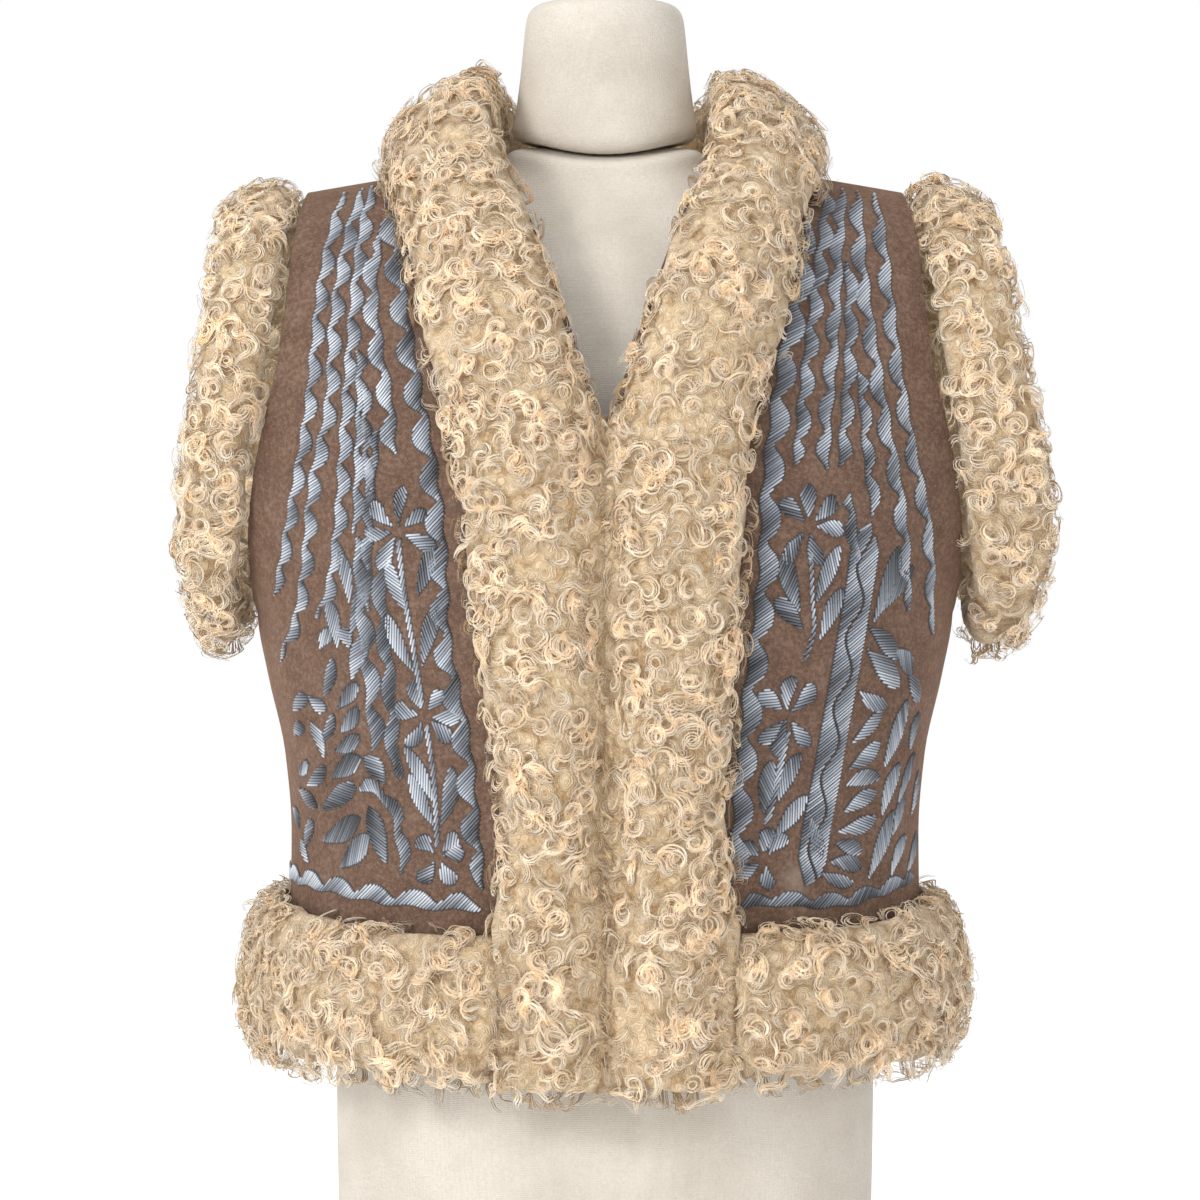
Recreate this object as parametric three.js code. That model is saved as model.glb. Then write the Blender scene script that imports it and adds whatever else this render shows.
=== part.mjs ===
// A folk vest of brown suede with curly lambskin trims, worn on a limbless dress form that stands on its flat base.
// Millimetres, +Z up, front towards -Y. The origin is the middle of the form's base.
// The suede is three walls: two fronts and a back, which meet at the side and shoulder seams.
// Each fur trim is one plain solid of the pile's reach: two front bands with half the collar each, a hem band
// and a cuff round each armhole.
import * as THREE from "three";

// --- driving dimensions ---
const SUEDE_THICKNESS = 2.4;
const SEAM_GAP = 0.4; // between any two pieces
const SUEDE_HEM = 164; // height of the suede's lower edge
const SHOULDER_TIP = 713; // height of the shoulder seam at the armhole
const ARMHOLE = { foot: 440, halfFront: 88, halfBack: 84 };
const FRONT_ARCH = { from: 470, power: 2.4 }; // where the front starts to round over to the shoulder
const BACK_ARCH = { from: 505, power: 2.4 };
const SECTION_POWER = 2.3; // how square the vest's horizontal sections are
const SHOULDER_RISE = { from: 560, slope: 0.17 }; // each row climbs towards the neck by this slope
const NECKLINE = { halfWidth: 76, backDrop: 17 };
const FUR_FOOT = 148; // height of the lower edge of the fur
const FORM_HEIGHT = 836;

// The vest's outer surface: half-width at the side seam or armhole edge, and depth at the middle, by height.
const VEST = [
  { height: 140, side: 208, front: 147, back: 141 },
  { height: 200, side: 205.5, front: 146, back: 139 },
  { height: 250, side: 203.5, front: 145, back: 136 },
  { height: 300, side: 203, front: 144, back: 132 },
  { height: 350, side: 207, front: 145, back: 131 },
  { height: 400, side: 218, front: 148, back: 132 },
  { height: 440, side: 225, front: 150, back: 134 },
  { height: 480, side: 226, front: 150, back: 136 },
  { height: 520, side: 222, front: 150, back: 136 },
  { height: 560, side: 214, front: 150, back: 136 },
  { height: 600, side: 205, front: 150, back: 136 },
  { height: 640, side: 200.5, front: 150, back: 136 },
  { height: 680, side: 197, front: 150, back: 136 },
  { height: 713, side: 192, front: 150, back: 136 },
];

// The largest soft folds: a trough or a ridge in the depth of a face. across is its share of the half-width, and
// tall and wide are how far it fades out.
const FOLDS = [
  { face: "front", across: 0.82, height: 330, tall: 85, wide: 0.06, depth: -5 },
  { face: "front", across: 0.92, height: 385, tall: 70, wide: 0.04, depth: 4 },
  { face: "front", across: 0.62, height: 690, tall: 50, wide: 0.12, depth: -3 },
  { face: "back", across: 0.5, height: 320, tall: 70, wide: 0.1, depth: -4 },
  { face: "back", across: 0.7, height: 360, tall: 90, wide: 0.08, depth: 3.5 },
  { face: "back", across: 0.86, height: 330, tall: 80, wide: 0.06, depth: -4 },
];

// The front edge of the suede under the bands, and then its neckline.
const FRONT_EDGE = [
  { height: 150, inset: 1.2 },
  { height: 545, inset: 1.2 },
  { height: 590, inset: 14 },
  { height: 640, inset: 35 },
  { height: 685, inset: 56 },
  { height: 713, inset: NECKLINE.halfWidth },
];

// One front band and half of the collar, from the hem to the middle of the back neck. Each row is a cross-section
// of the fur. overIn and overOut are distances over the body from the shoulder line to its two edges, negative in
// front and positive behind; inner, and right or left, are their distances from the middle plane; rise is the
// pile's height at the inner edge, the middle and the outer edge; lean is how far its top leans in to the neck.
const BAND = [
  { overIn: -648, inner: 1.2, overOut: -648, right: 67, left: 80, rise: [26, 29, 25], lean: 0 },
  { overIn: -613, inner: 1.2, overOut: -613, right: 67, left: 81, rise: [28, 32, 27], lean: 0 },
  { overIn: -546, inner: 1.2, overOut: -546, right: 67, left: 80, rise: [28, 32, 27], lean: 0 },
  { overIn: -471, inner: 1.2, overOut: -471, right: 68, left: 76, rise: [28, 31, 27], lean: 0 },
  { overIn: -408, inner: 1.2, overOut: -408, right: 76, left: 80, rise: [28, 31, 27], lean: 0 },
  { overIn: -357, inner: 1.2, overOut: -357, right: 83, left: 83, rise: [28, 31, 27], lean: 0 },
  { overIn: -307, inner: 1.2, overOut: -307, right: 88, left: 88, rise: [28, 31, 27], lean: 0 },
  { overIn: -262, inner: 1.2, overOut: -257, right: 95, left: 91, rise: [29, 33, 28], lean: 0 },
  { overIn: -234, inner: 3, overOut: -228, right: 103, left: 97, rise: [30, 34, 28], lean: 0 },
  { overIn: -199, inner: 13, overOut: -197, right: 112, left: 107, rise: [30, 35, 28], lean: 0 },
  { overIn: -160, inner: 26, overOut: -158, right: 119, left: 117, rise: [30, 36, 28], lean: 0 },
  { overIn: -122, inner: 39, overOut: -119, right: 126, left: 123, rise: [31, 36, 28], lean: 2 },
  { overIn: -85, inner: 55, overOut: -79, right: 134, left: 132, rise: [36, 38, 29], lean: 8 },
  { overIn: -50, inner: 69, overOut: -42, right: 140, left: 139, rise: [52, 44, 30], lean: 20 },
  { overIn: -24, inner: 76, overOut: -14, right: 142, left: 142, rise: [68, 50, 31], lean: 34 },
  { overIn: 0, inner: 77, overOut: 12, right: 142, left: 142, rise: [76, 53, 31], lean: 42 },
  { overIn: 12, inner: 75, overOut: 42, right: 139, left: 139, rise: [76, 54, 31], lean: 44 },
  { overIn: 26, inner: 68, overOut: 76, right: 128, left: 128, rise: [70, 52, 31], lean: 44 },
  { overIn: 42, inner: 54, overOut: 112, right: 105, left: 105, rise: [64, 49, 30], lean: 42 },
  { overIn: 52, inner: 38, overOut: 142, right: 74, left: 74, rise: [60, 46, 30], lean: 42 },
  { overIn: 58, inner: 18, overOut: 160, right: 36, left: 36, rise: [58, 44, 29], lean: 42 },
  { overIn: 60, inner: 0.3, overOut: 165, right: 0.3, left: 0.3, rise: [58, 44, 29], lean: 42 },
];
const BAND_ROW_STEP = 2; // sections between two rows of the table
const BESIDE_HEM = -520; // below this the band's outer side stands straight, beside the hem band

// The height profile across a fur section: share of the width against share of the rise.
const PILE = [
  { at: 0, high: 0.34 },
  { at: 0.1, high: 0.84 },
  { at: 0.3, high: 1 },
  { at: 0.55, high: 1 },
  { at: 0.78, high: 0.96 },
  { at: 0.93, high: 0.72 },
  { at: 1, high: 0.32 },
];
const BASE_STEPS = 4; // steps across a fur section's underside
const FUR_LIFT = 1.3; // the fur's underside above the suede

// The hem band, by turn from the front middle (0) over the side (90) to the back middle (180).
const HEM = [
  { turn: 0, foot: 150, top: 246, rise: 30 },
  { turn: 45, foot: 155, top: 250, rise: 30 },
  { turn: 90, foot: 159, top: 264, rise: 31 },
  { turn: 135, foot: 157, top: 256, rise: 30 },
  { turn: 180, foot: 155, top: 252, rise: 30 },
];
const HEM_STATIONS = 40;

// The cuff round each armhole, by turn from the top. out is the middle of the fur from the middle plane, reach its
// half-length outwards, tilt how far it slopes down outwards. The right cuff is worn a little flatter.
const CUFF = { centre: 569, halfHeight: 133, halfDepth: 84, halfThickness: 19, power: 2.5, stations: 32, sides: 12 };
const CUFF_LEFT = [
  { turn: 0, out: 223.5, reach: 29, tilt: 24 },
  { turn: 45, out: 228.5, reach: 28, tilt: 12 },
  { turn: 80, out: 239, reach: 29, tilt: 2 },
  { turn: 112, out: 254, reach: 31, tilt: 0 },
  { turn: 140, out: 257, reach: 28, tilt: 6 },
  { turn: 180, out: 250, reach: 20, tilt: 28 },
];
const CUFF_RIGHT = [
  { turn: 0, out: 221.5, reach: 27, tilt: 22 },
  { turn: 45, out: 226, reach: 26.5, tilt: 12 },
  { turn: 80, out: 235, reach: 25, tilt: 2 },
  { turn: 112, out: 247, reach: 24, tilt: 0 },
  { turn: 140, out: 250, reach: 21, tilt: 6 },
  { turn: 180, out: 246, reach: 17, tilt: 28 },
];

// The dress form, by height: half-width, depth in front and behind, and how far the ring dips at the front.
const FORM = [
  { height: 0, side: 166, front: 108, back: 116, dip: 0 },
  { height: 5, side: 170, front: 111, back: 119, dip: 0 },
  { height: 58, side: 173.5, front: 113, back: 122, dip: 0 },
  { height: 150, side: 175, front: 114, back: 124, dip: 0 },
  { height: 205, side: 170, front: 112, back: 119, dip: 0 },
  { height: 265, side: 152, front: 106, back: 105, dip: 0 },
  { height: 320, side: 132, front: 99, back: 94, dip: 0 },
  { height: 376, side: 121, front: 96, back: 90, dip: 0 },
  { height: 420, side: 126, front: 101, back: 95, dip: 0 },
  { height: 470, side: 142, front: 116, back: 104, dip: 0 },
  { height: 515, side: 154, front: 125, back: 110, dip: 0 },
  { height: 560, side: 161, front: 121, back: 113, dip: 0 },
  { height: 605, side: 168, front: 108, back: 112, dip: 0 },
  { height: 645, side: 173, front: 94, back: 104, dip: 0 },
  { height: 672, side: 166, front: 80, back: 89, dip: 2 },
  { height: 692, side: 146, front: 68, back: 74, dip: 4 },
  { height: 706, side: 110, front: 60, back: 62, dip: 6.5 },
  { height: 716, side: 84, front: 56, back: 55, dip: 8.5 },
  { height: 725, side: 70, front: 53, back: 51.5, dip: 10.5 },
  { height: 734, side: 65.5, front: 51, back: 50.5, dip: 12.5 },
  { height: 743.2, side: 62, front: 50, back: 50, dip: 14 },
];
const NECK = [
  { height: 744, side: 62, front: 50, back: 50, dip: 14 },
  { height: 757, side: 59.5, front: 49, back: 49.5, dip: 11 },
  { height: 775, side: 56.8, front: 48, back: 49, dip: 6.5 },
  { height: 800, side: 54, front: 47, back: 48, dip: 2 },
  { height: 822, side: 52, front: 46, back: 46, dip: 0 },
  { height: 829, side: 50.5, front: 44.5, back: 44.5, dip: 0 },
  { height: 833.5, side: 46.5, front: 41, back: 41, dip: 0 },
  { height: FORM_HEIGHT, side: 39, front: 34, back: 34, dip: 0 },
];
const FORM_SIDES = 36;
const FORM_POWER = 2.25;
const NECK_POWER = 2;

// --- curves and vectors ---
const vec = (x, y, z) => new THREE.Vector3(x, y, z);
const radians = THREE.MathUtils.degToRad;
const lerp = THREE.MathUtils.lerp;
const smoothstep = (x, low, high) => THREE.MathUtils.smoothstep(x, low, high);

// A smooth curve through one column of a table, which never overshoots its rows.
function column(table, by, name) {
  const x = table.map((row) => row[by]);
  const y = table.map((row) => row[name]);
  const secant = x.slice(1).map((next, i) => (y[i + 1] - y[i]) / (next - x[i]));
  const slope = x.map((_, i) => {
    const before = secant[i - 1] ?? secant[i];
    const after = secant[i] ?? secant[i - 1];
    if (before * after <= 0) return 0;
    return (2 * before * after) / (before + after);
  });
  return (at) => {
    const clamped = Math.min(Math.max(at, x[0]), x[x.length - 1]);
    let i = 0;
    while (i < x.length - 2 && clamped > x[i + 1]) i += 1;
    const width = x[i + 1] - x[i];
    const t = (clamped - x[i]) / width;
    const bend = t * t * (3 - 2 * t);
    return (
      y[i] +
      (y[i + 1] - y[i]) * bend +
      width * (slope[i] * t * (1 - t) ** 2 - slope[i + 1] * t * t * (1 - t))
    );
  };
}

// --- the vest's surface ---
const sideAt = column(VEST, "height", "side");
const depthAt = { front: column(VEST, "height", "front"), back: column(VEST, "height", "back") };
const insetAt = column(FRONT_EDGE, "height", "inset");
const archOf = { front: FRONT_ARCH, back: BACK_ARCH };
const armholeHalf = { front: ARMHOLE.halfFront, back: ARMHOLE.halfBack };

// How far the front or back stands from the middle at this height, rounding over to nothing at the shoulder.
function bodyDepth(face, height) {
  const arch = archOf[face];
  const up = Math.max(0, (height - arch.from) / (SHOULDER_TIP - arch.from));
  return depthAt[face](height) * Math.sqrt(Math.max(1e-6, 1 - up ** arch.power));
}

// The depth of the panel's outer edge: nothing at the side seam, and an oval round the armhole.
function edgeDepth(face, height) {
  const half = (SHOULDER_TIP - ARMHOLE.foot) / 2;
  const from = (height - ARMHOLE.foot - half) / half;
  return Math.abs(from) >= 1 ? 0 : armholeHalf[face] * Math.sqrt(1 - from * from);
}

// The half-width that the section would have if it ran on round to the side.
function fullWidth(face, height) {
  const h = Math.min(height, SHOULDER_TIP - 0.2);
  const share = Math.min(0.95, edgeDepth(face, h) / bodyDepth(face, h));
  return sideAt(height) / (1 - share ** SECTION_POWER) ** (1 / SECTION_POWER);
}

// How far the folds move the face out, fading to nothing at the side seam.
function foldDepth(face, height, across) {
  const here = FOLDS.filter((fold) => fold.face === face);
  const bell = (offset) => Math.exp(-offset * offset);
  const sum = here.reduce(
    (total, { across: at, height: level, tall, wide, depth }) =>
      total + depth * bell((height - level) / tall) * bell((across - at) / wide),
    0,
  );
  return sum * (1 - across ** 6);
}

// The point of the vest's outer surface at a row's height and a distance x from the middle plane.
function onVest(face, height, x) {
  const across = Math.min(1, Math.abs(x) / fullWidth(face, height));
  const round = bodyDepth(face, height) * (1 - across ** SECTION_POWER) ** (1 / SECTION_POWER);
  const share = Math.min(1, Math.abs(x) / sideAt(height));
  const depth = Math.max(0, round + foldDepth(face, height, share));
  const rise = SHOULDER_RISE.slope * smoothstep(height, SHOULDER_RISE.from, SHOULDER_TIP);
  const z = height + rise * (sideAt(height) - Math.abs(x));
  return vec(x, face === "front" ? -depth : depth, z);
}

// Heights against the distance over the body from the shoulder line, measured down one line beside the neck.
function overTable(face) {
  const measuredAt = 100; // from the middle plane
  const step = 0.25;
  const rows = [{ over: 0, height: SHOULDER_TIP }];
  let last = onVest(face, SHOULDER_TIP, measuredAt);
  let over = 0;
  for (let height = SHOULDER_TIP - step; height > FUR_FOOT - 2; height -= step) {
    const next = onVest(face, height, measuredAt);
    over += next.distanceTo(last);
    last = next;
    rows.push({ over, height });
  }
  return rows;
}

const heightOver = {
  front: column(overTable("front"), "over", "height"),
  back: column(overTable("back"), "over", "height"),
};

// The point at a distance over the body from the shoulder line, negative in front and positive behind.
function onOver(over, x) {
  const face = over < 0 ? "front" : "back";
  return onVest(face, heightOver[face](Math.abs(over)), x);
}

// The distance from the middle plane at a share of the way from inner to outer, evenly along the bend.
function acrossSection(face, height, inner, outer, share) {
  const width = fullWidth(face, height);
  const angle = (x) => Math.asin(Math.sign(x) * Math.min(1, Math.abs(x) / width) ** (SECTION_POWER / 2));
  const at = Math.sin(lerp(angle(inner), angle(outer), share));
  return Math.sign(at) * width * Math.abs(at) ** (2 / SECTION_POWER);
}

// --- meshes ---
// A closed geometry from points and triangles, turned so that its faces point out.
function closedGeometry(points, triangles) {
  let volume = 0;
  for (const [a, b, c] of triangles) {
    volume += points[a].dot(points[b].clone().cross(points[c]));
  }
  const index = triangles.flatMap(([a, b, c]) => (volume > 0 ? [a, b, c] : [a, c, b]));
  const geometry = new THREE.BufferGeometry().setFromPoints(points);
  geometry.setIndex(index);
  geometry.computeVertexNormals();
  return geometry;
}

// Rings of equal length joined in order, with the two ends capped, or joined to each other where looped.
function loft(rings, looped = false) {
  const sides = rings[0].length;
  const points = rings.flat();
  const triangles = [];
  const spans = looped ? rings.length : rings.length - 1;
  for (let i = 0; i < spans; i += 1) {
    const here = i * sides;
    const next = ((i + 1) % rings.length) * sides;
    for (let j = 0; j < sides; j += 1) {
      const k = (j + 1) % sides;
      triangles.push([here + j, here + k, next + k], [here + j, next + k, next + j]);
    }
  }
  if (!looped) {
    [0, rings.length - 1].forEach((ring, end) => {
      const centre = points.length;
      points.push(rings[ring].reduce((sum, p) => sum.add(p), vec(0, 0, 0)).divideScalar(sides));
      for (let j = 0; j < sides; j += 1) {
        const edge = [ring * sides + j, ring * sides + ((j + 1) % sides)];
        triangles.push(end ? [centre, ...edge] : [centre, ...edge.reverse()]);
      }
    });
  }
  return closedGeometry(points, triangles);
}

// A wall of even thickness behind a grid of points: grid[row][column].
function wall(grid, thickness, flattenNormal) {
  const rows = grid.length;
  const columns = grid[0].length;
  const clamp = (i, n) => Math.min(Math.max(i, 0), n - 1);
  const inside = grid.map((row, i) =>
    row.map((point, j) => {
      const along = grid[clamp(i + 1, rows)][j].clone().sub(grid[clamp(i - 1, rows)][j]);
      const across = row[clamp(j + 1, columns)].clone().sub(row[clamp(j - 1, columns)]);
      const normal = across.cross(along);
      flattenNormal(normal, i, j, rows, columns);
      return point.clone().addScaledVector(normal.normalize(), -thickness);
    }),
  );
  const rings = grid.map((row, i) => [...row, ...inside[i].slice().reverse()]);
  return stitchedWall(rings, columns);
}

// The rings of a wall joined, with its first and last row closed by strips.
function stitchedWall(rings, columns) {
  const sides = rings[0].length;
  const triangles = [];
  for (let i = 0; i < rings.length - 1; i += 1) {
    for (let j = 0; j < sides; j += 1) {
      const k = (j + 1) % sides;
      const [a, b, c, d] = [i * sides + j, i * sides + k, (i + 1) * sides + k, (i + 1) * sides + j];
      triangles.push([a, b, c], [a, c, d]);
    }
  }
  [0, rings.length - 1].forEach((ring, end) => {
    for (let j = 0; j < columns - 1; j += 1) {
      const [a, b] = [ring * sides + j, ring * sides + j + 1];
      const [c, d] = [ring * sides + sides - 2 - j, ring * sides + sides - 1 - j];
      triangles.push(...(end ? [[a, b, c], [a, c, d]] : [[a, c, b], [a, d, c]]));
    }
  });
  return closedGeometry(rings.flat(), triangles);
}

// --- suede panels ---
// Heights of the rows of a panel: even below the armhole, and closer together at both ends of it.
function panelRows() {
  const below = 7;
  const beside = 15;
  const rows = [];
  for (let i = 0; i < below; i += 1) rows.push(lerp(SUEDE_HEM, ARMHOLE.foot, i / below));
  for (let i = 0; i <= beside; i += 1) {
    const share = (1 - Math.cos((Math.PI * i) / beside)) / 2;
    rows.push(lerp(ARMHOLE.foot, SHOULDER_TIP, share));
  }
  return rows;
}

const PANEL_COLUMNS = 14;

// One front, on the +X side: from the front edge to the side seam and the armhole.
function frontPanel() {
  const rows = panelRows();
  const last = rows.length - 1;
  const grid = rows.map((height) =>
    Array.from({ length: PANEL_COLUMNS + 1 }, (_, j) => {
      const x = acrossSection("front", height, insetAt(height), sideAt(height), j / PANEL_COLUMNS);
      const point = onVest("front", height, x);
      point.y = Math.min(point.y, -SEAM_GAP / 2);
      return point;
    }),
  );
  return wall(grid, SUEDE_THICKNESS, (normal, i, j, count, columns) => {
    if (i === last || (j === columns - 1 && rows[i] <= ARMHOLE.foot)) normal.y = 0;
    if (j === 0 && rows[i] < FRONT_EDGE[1].height) normal.x = 0;
  });
}

// The back, in one piece, with the neckline cut down a little at the middle.
function backPanel() {
  const rows = panelRows();
  const columns = PANEL_COLUMNS * 2;
  const last = rows.length - 1;
  const neckDrop = (x) => NECKLINE.backDrop * Math.max(0, 1 - (x / NECKLINE.halfWidth) ** 2);
  const grid = rows.map((height) =>
    Array.from({ length: columns + 1 }, (_, j) => {
      const share = (2 * j) / columns - 1;
      const topX = acrossSection("back", SHOULDER_TIP, 0, sideAt(SHOULDER_TIP), Math.abs(share));
      const shrink = (height - SUEDE_HEM) / (SHOULDER_TIP - SUEDE_HEM);
      const lowered = height - neckDrop(topX) * shrink;
      const reach = acrossSection("back", lowered, 0, sideAt(lowered), Math.abs(share));
      const point = onVest("back", lowered, Math.sign(share) * reach);
      point.y = Math.max(point.y, SEAM_GAP / 2);
      return point;
    }),
  );
  return wall(grid.map((row) => row.reverse()), SUEDE_THICKNESS, (normal, i, j, count, width) => {
    const atSide = j === 0 || j === width - 1;
    const onShoulder = i === last && Math.abs(grid[i][j].x) > NECKLINE.halfWidth;
    if (onShoulder || (atSide && rows[i] <= ARMHOLE.foot)) normal.y = 0;
    if (atSide && rows[i] <= ARMHOLE.foot) normal.z = 0;
  });
}

// --- fur ---
const pileAt = column(PILE, "at", "high");

// One cross-section of fur: its underside from outer to inner along base, then its top back again.
function furSection(base, up, rises, lean) {
  const first = base[0];
  const last = base[base.length - 1];
  const rows = [{ at: 0, rise: rises[0] }, { at: 0.5, rise: rises[1] }, { at: 1, rise: rises[2] }];
  const riseAt = column(rows, "at", "rise");
  const curve = new THREE.CatmullRomCurve3(base, false, "centripetal");
  const top = PILE.map(({ at }) => {
    const high = riseAt(at) * pileAt(at);
    const point = curve.getPoint(at).addScaledVector(up, high);
    const inward = first.clone().sub(last).normalize();
    return point.addScaledVector(inward, lean * (high / rises[0]) * (1 - at) ** 2);
  });
  return [...base.slice().reverse(), ...top];
}

// A front band with half of the collar on the +X side, with the outer edge of the named side.
function frontBand(side) {
  const table = BAND.map((row, i) => ({
    ...row,
    at: i,
    outer: row[side],
    near: row.rise[0],
    middle: row.rise[1],
    far: row.rise[2],
  }));
  const names = ["overIn", "inner", "overOut", "outer", "near", "middle", "far", "lean"];
  const curves = Object.fromEntries(names.map((name) => [name, column(table, "at", name)]));
  const steps = (BAND.length - 1) * BAND_ROW_STEP;
  const stations = Array.from({ length: steps + 1 }, (_, i) => {
    const row = Object.fromEntries(names.map((name) => [name, curves[name](i / BAND_ROW_STEP)]));
    const base = Array.from({ length: BASE_STEPS + 1 }, (__, j) => {
      const share = j / BASE_STEPS;
      return onOver(lerp(row.overIn, row.overOut, share), lerp(row.inner, row.outer, share));
    });
    return { row, base };
  });
  const rings = stations.map(({ row, base }, i) => {
    const before = stations[Math.max(0, i - 1)].base;
    const after = stations[Math.min(steps, i + 1)].base;
    const middle = BASE_STEPS / 2;
    const along = after[middle].clone().sub(before[middle]);
    const across = base[BASE_STEPS].clone().sub(base[0]);
    const up = across.cross(along).normalize();
    if (row.overIn < BESIDE_HEM || i === steps) up.setX(0).normalize();
    const lifted = base.map((point) => point.clone().addScaledVector(up, FUR_LIFT));
    const ring = furSection(lifted, up, [row.near, row.middle, row.far], row.lean);
    if (i === steps) ring.forEach((point) => point.setX(SEAM_GAP / 2));
    return ring;
  });
  return loft(rings);
}

// The hem band, from one front band round the back to the other.
function hemBand() {
  const footAt = column(HEM, "turn", "foot");
  const topAt = column(HEM, "turn", "top");
  const riseAt = column(HEM, "turn", "rise");
  const clear = 1.6; // between the hem band and the front bands
  const ends = { left: BAND[1].left + clear, right: BAND[1].right + clear };
  const point = (turn, height) => {
    const face = turn < 90 ? "front" : "back";
    const across = Math.sin(radians(turn)) ** (2 / SECTION_POWER);
    return onVest(face, height, across * lerp(sideAt(FUR_FOOT), sideAt(height), across));
  };
  const startTurn = (x) => {
    const share = (x / sideAt(FUR_FOOT)) ** (SECTION_POWER / 2);
    return THREE.MathUtils.radToDeg(Math.asin(share));
  };
  const from = startTurn(ends.left);
  const to = 360 - startTurn(ends.right);
  const stations = Array.from({ length: HEM_STATIONS + 1 }, (_, i) => {
    const turn = lerp(from, to, i / HEM_STATIONS);
    const mirrored = turn > 180;
    const folded = mirrored ? 360 - turn : turn;
    const base = Array.from({ length: BASE_STEPS + 1 }, (__, j) => {
      const p = point(folded, lerp(footAt(folded), topAt(folded), j / BASE_STEPS));
      return mirrored ? p.setX(-p.x) : p;
    });
    return { base, rise: riseAt(folded) };
  });
  const rings = stations.map(({ base, rise }, i) => {
    const before = stations[Math.max(0, i - 1)].base[0];
    const after = stations[Math.min(HEM_STATIONS, i + 1)].base[0];
    const up = after.clone().sub(before).cross(vec(0, 0, 1)).normalize();
    if (i === 0 || i === HEM_STATIONS) up.setX(0).normalize();
    const lifted = base.map((p) => p.clone().addScaledVector(up, FUR_LIFT));
    return furSection(lifted, up, [rise, rise, rise * 0.9], 0);
  });
  return loft(rings);
}

// The fur cuff of the armhole on the +X side: a closed ring of oval section.
function armholeCuff(table) {
  const outAt = column(table, "turn", "out");
  const reachAt = column(table, "turn", "reach");
  const tiltAt = column(table, "turn", "tilt");
  const rings = Array.from({ length: CUFF.stations }, (_, i) => {
    const turn = (360 * i) / CUFF.stations;
    const folded = turn > 180 ? 360 - turn : turn;
    const [sin, cos] = [Math.sin(radians(turn)), Math.cos(radians(turn))];
    const centre = vec(outAt(folded), -CUFF.halfDepth * sin, CUFF.centre + CUFF.halfHeight * cos);
    const radial = vec(0, -CUFF.halfHeight * sin, CUFF.halfDepth * cos).normalize();
    const tilt = radians(tiltAt(folded));
    const outward = vec(Math.cos(tilt), 0, 0).addScaledVector(radial, -Math.sin(tilt));
    const thick = vec(Math.sin(tilt), 0, 0).addScaledVector(radial, Math.cos(tilt));
    return Array.from({ length: CUFF.sides }, (__, j) => {
      const angle = (2 * Math.PI * j) / CUFF.sides;
      const round = (value) => Math.sign(value) * Math.abs(value) ** (2 / CUFF.power);
      return centre
        .clone()
        .addScaledVector(outward, reachAt(folded) * round(Math.cos(angle)))
        .addScaledVector(thick, CUFF.halfThickness * round(Math.sin(angle)));
    });
  });
  return loft(rings, true);
}

// --- dress form ---
function formLoft(table, power, rows) {
  const names = ["side", "front", "back", "dip"];
  const curves = Object.fromEntries(names.map((name) => [name, column(table, "height", name)]));
  const rings = rows.map((height) =>
    Array.from({ length: FORM_SIDES }, (_, j) => {
      const angle = (2 * Math.PI * j) / FORM_SIDES;
      const round = (value) => Math.sign(value) * Math.abs(value) ** (2 / power);
      const forward = Math.max(0, -Math.sin(angle));
      const depth = forward > 0 ? curves.front(height) : curves.back(height);
      const x = curves.side(height) * round(Math.cos(angle));
      const y = depth * round(Math.sin(angle));
      return vec(x, y, height - curves.dip(height) * forward ** 2);
    }),
  );
  return loft(rings);
}

// The table's own rows, with one more between rows that are far apart.
function rowsOf(table, widest) {
  return table.flatMap(({ height }, i) => {
    const next = table[i + 1]?.height ?? height;
    return next - height > widest ? [height, (height + next) / 2] : [height];
  });
}

// --- the object ---
const suede = () => new THREE.MeshStandardMaterial({ color: 0x6b4a38, roughness: 0.95 });
const wool = () => new THREE.MeshStandardMaterial({ color: 0xd9c19a, roughness: 0.9 });
const linen = () => new THREE.MeshStandardMaterial({ color: 0xe6ddd0, roughness: 0.85 });

const vest = new THREE.Group();

function piece(name, geometry, material) {
  const mesh = new THREE.Mesh(geometry, material);
  mesh.name = name;
  vest.add(mesh);
  return mesh;
}

function mirrored(name, geometry, material) {
  piece(name, geometry, material).scale.x = -1;
}

piece("form_torso", formLoft(FORM, FORM_POWER, rowsOf(FORM, 50)), linen());
piece("form_neck", formLoft(NECK, NECK_POWER, rowsOf(NECK, 24)), linen());
piece("front_left", frontPanel(), suede());
mirrored("front_right", frontPanel(), suede());
piece("back", backPanel(), suede());
piece("band_left", frontBand("left"), wool());
mirrored("band_right", frontBand("right"), wool());
piece("hem_band", hemBand(), wool());
piece("cuff_left", armholeCuff(CUFF_LEFT), wool());
mirrored("cuff_right", armholeCuff(CUFF_RIGHT), wool());

export default vest;
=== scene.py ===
"""The looks of the embroidered suede vest on its dress form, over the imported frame.

Lengths are millimetres until a mesh is made. +Z is up, -Y the front, +X the wearer's left.
Suede and embroidery follow the vest's own surface, worked out here from the same sizes as the frame's;
fur grows from the frame's trims; the form is the frame's, rounded off.
"""

import bmesh
import bpy
import numpy as np
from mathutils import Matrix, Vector, noise
from mathutils.bvhtree import BVHTree


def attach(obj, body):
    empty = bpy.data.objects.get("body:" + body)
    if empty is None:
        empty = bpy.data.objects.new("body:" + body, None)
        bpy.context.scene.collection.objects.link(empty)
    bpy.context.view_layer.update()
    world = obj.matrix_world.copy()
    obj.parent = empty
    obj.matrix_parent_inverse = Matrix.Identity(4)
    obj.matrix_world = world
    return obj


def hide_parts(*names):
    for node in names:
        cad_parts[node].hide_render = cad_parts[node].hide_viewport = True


MM = 0.001
SEED = 20

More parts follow.
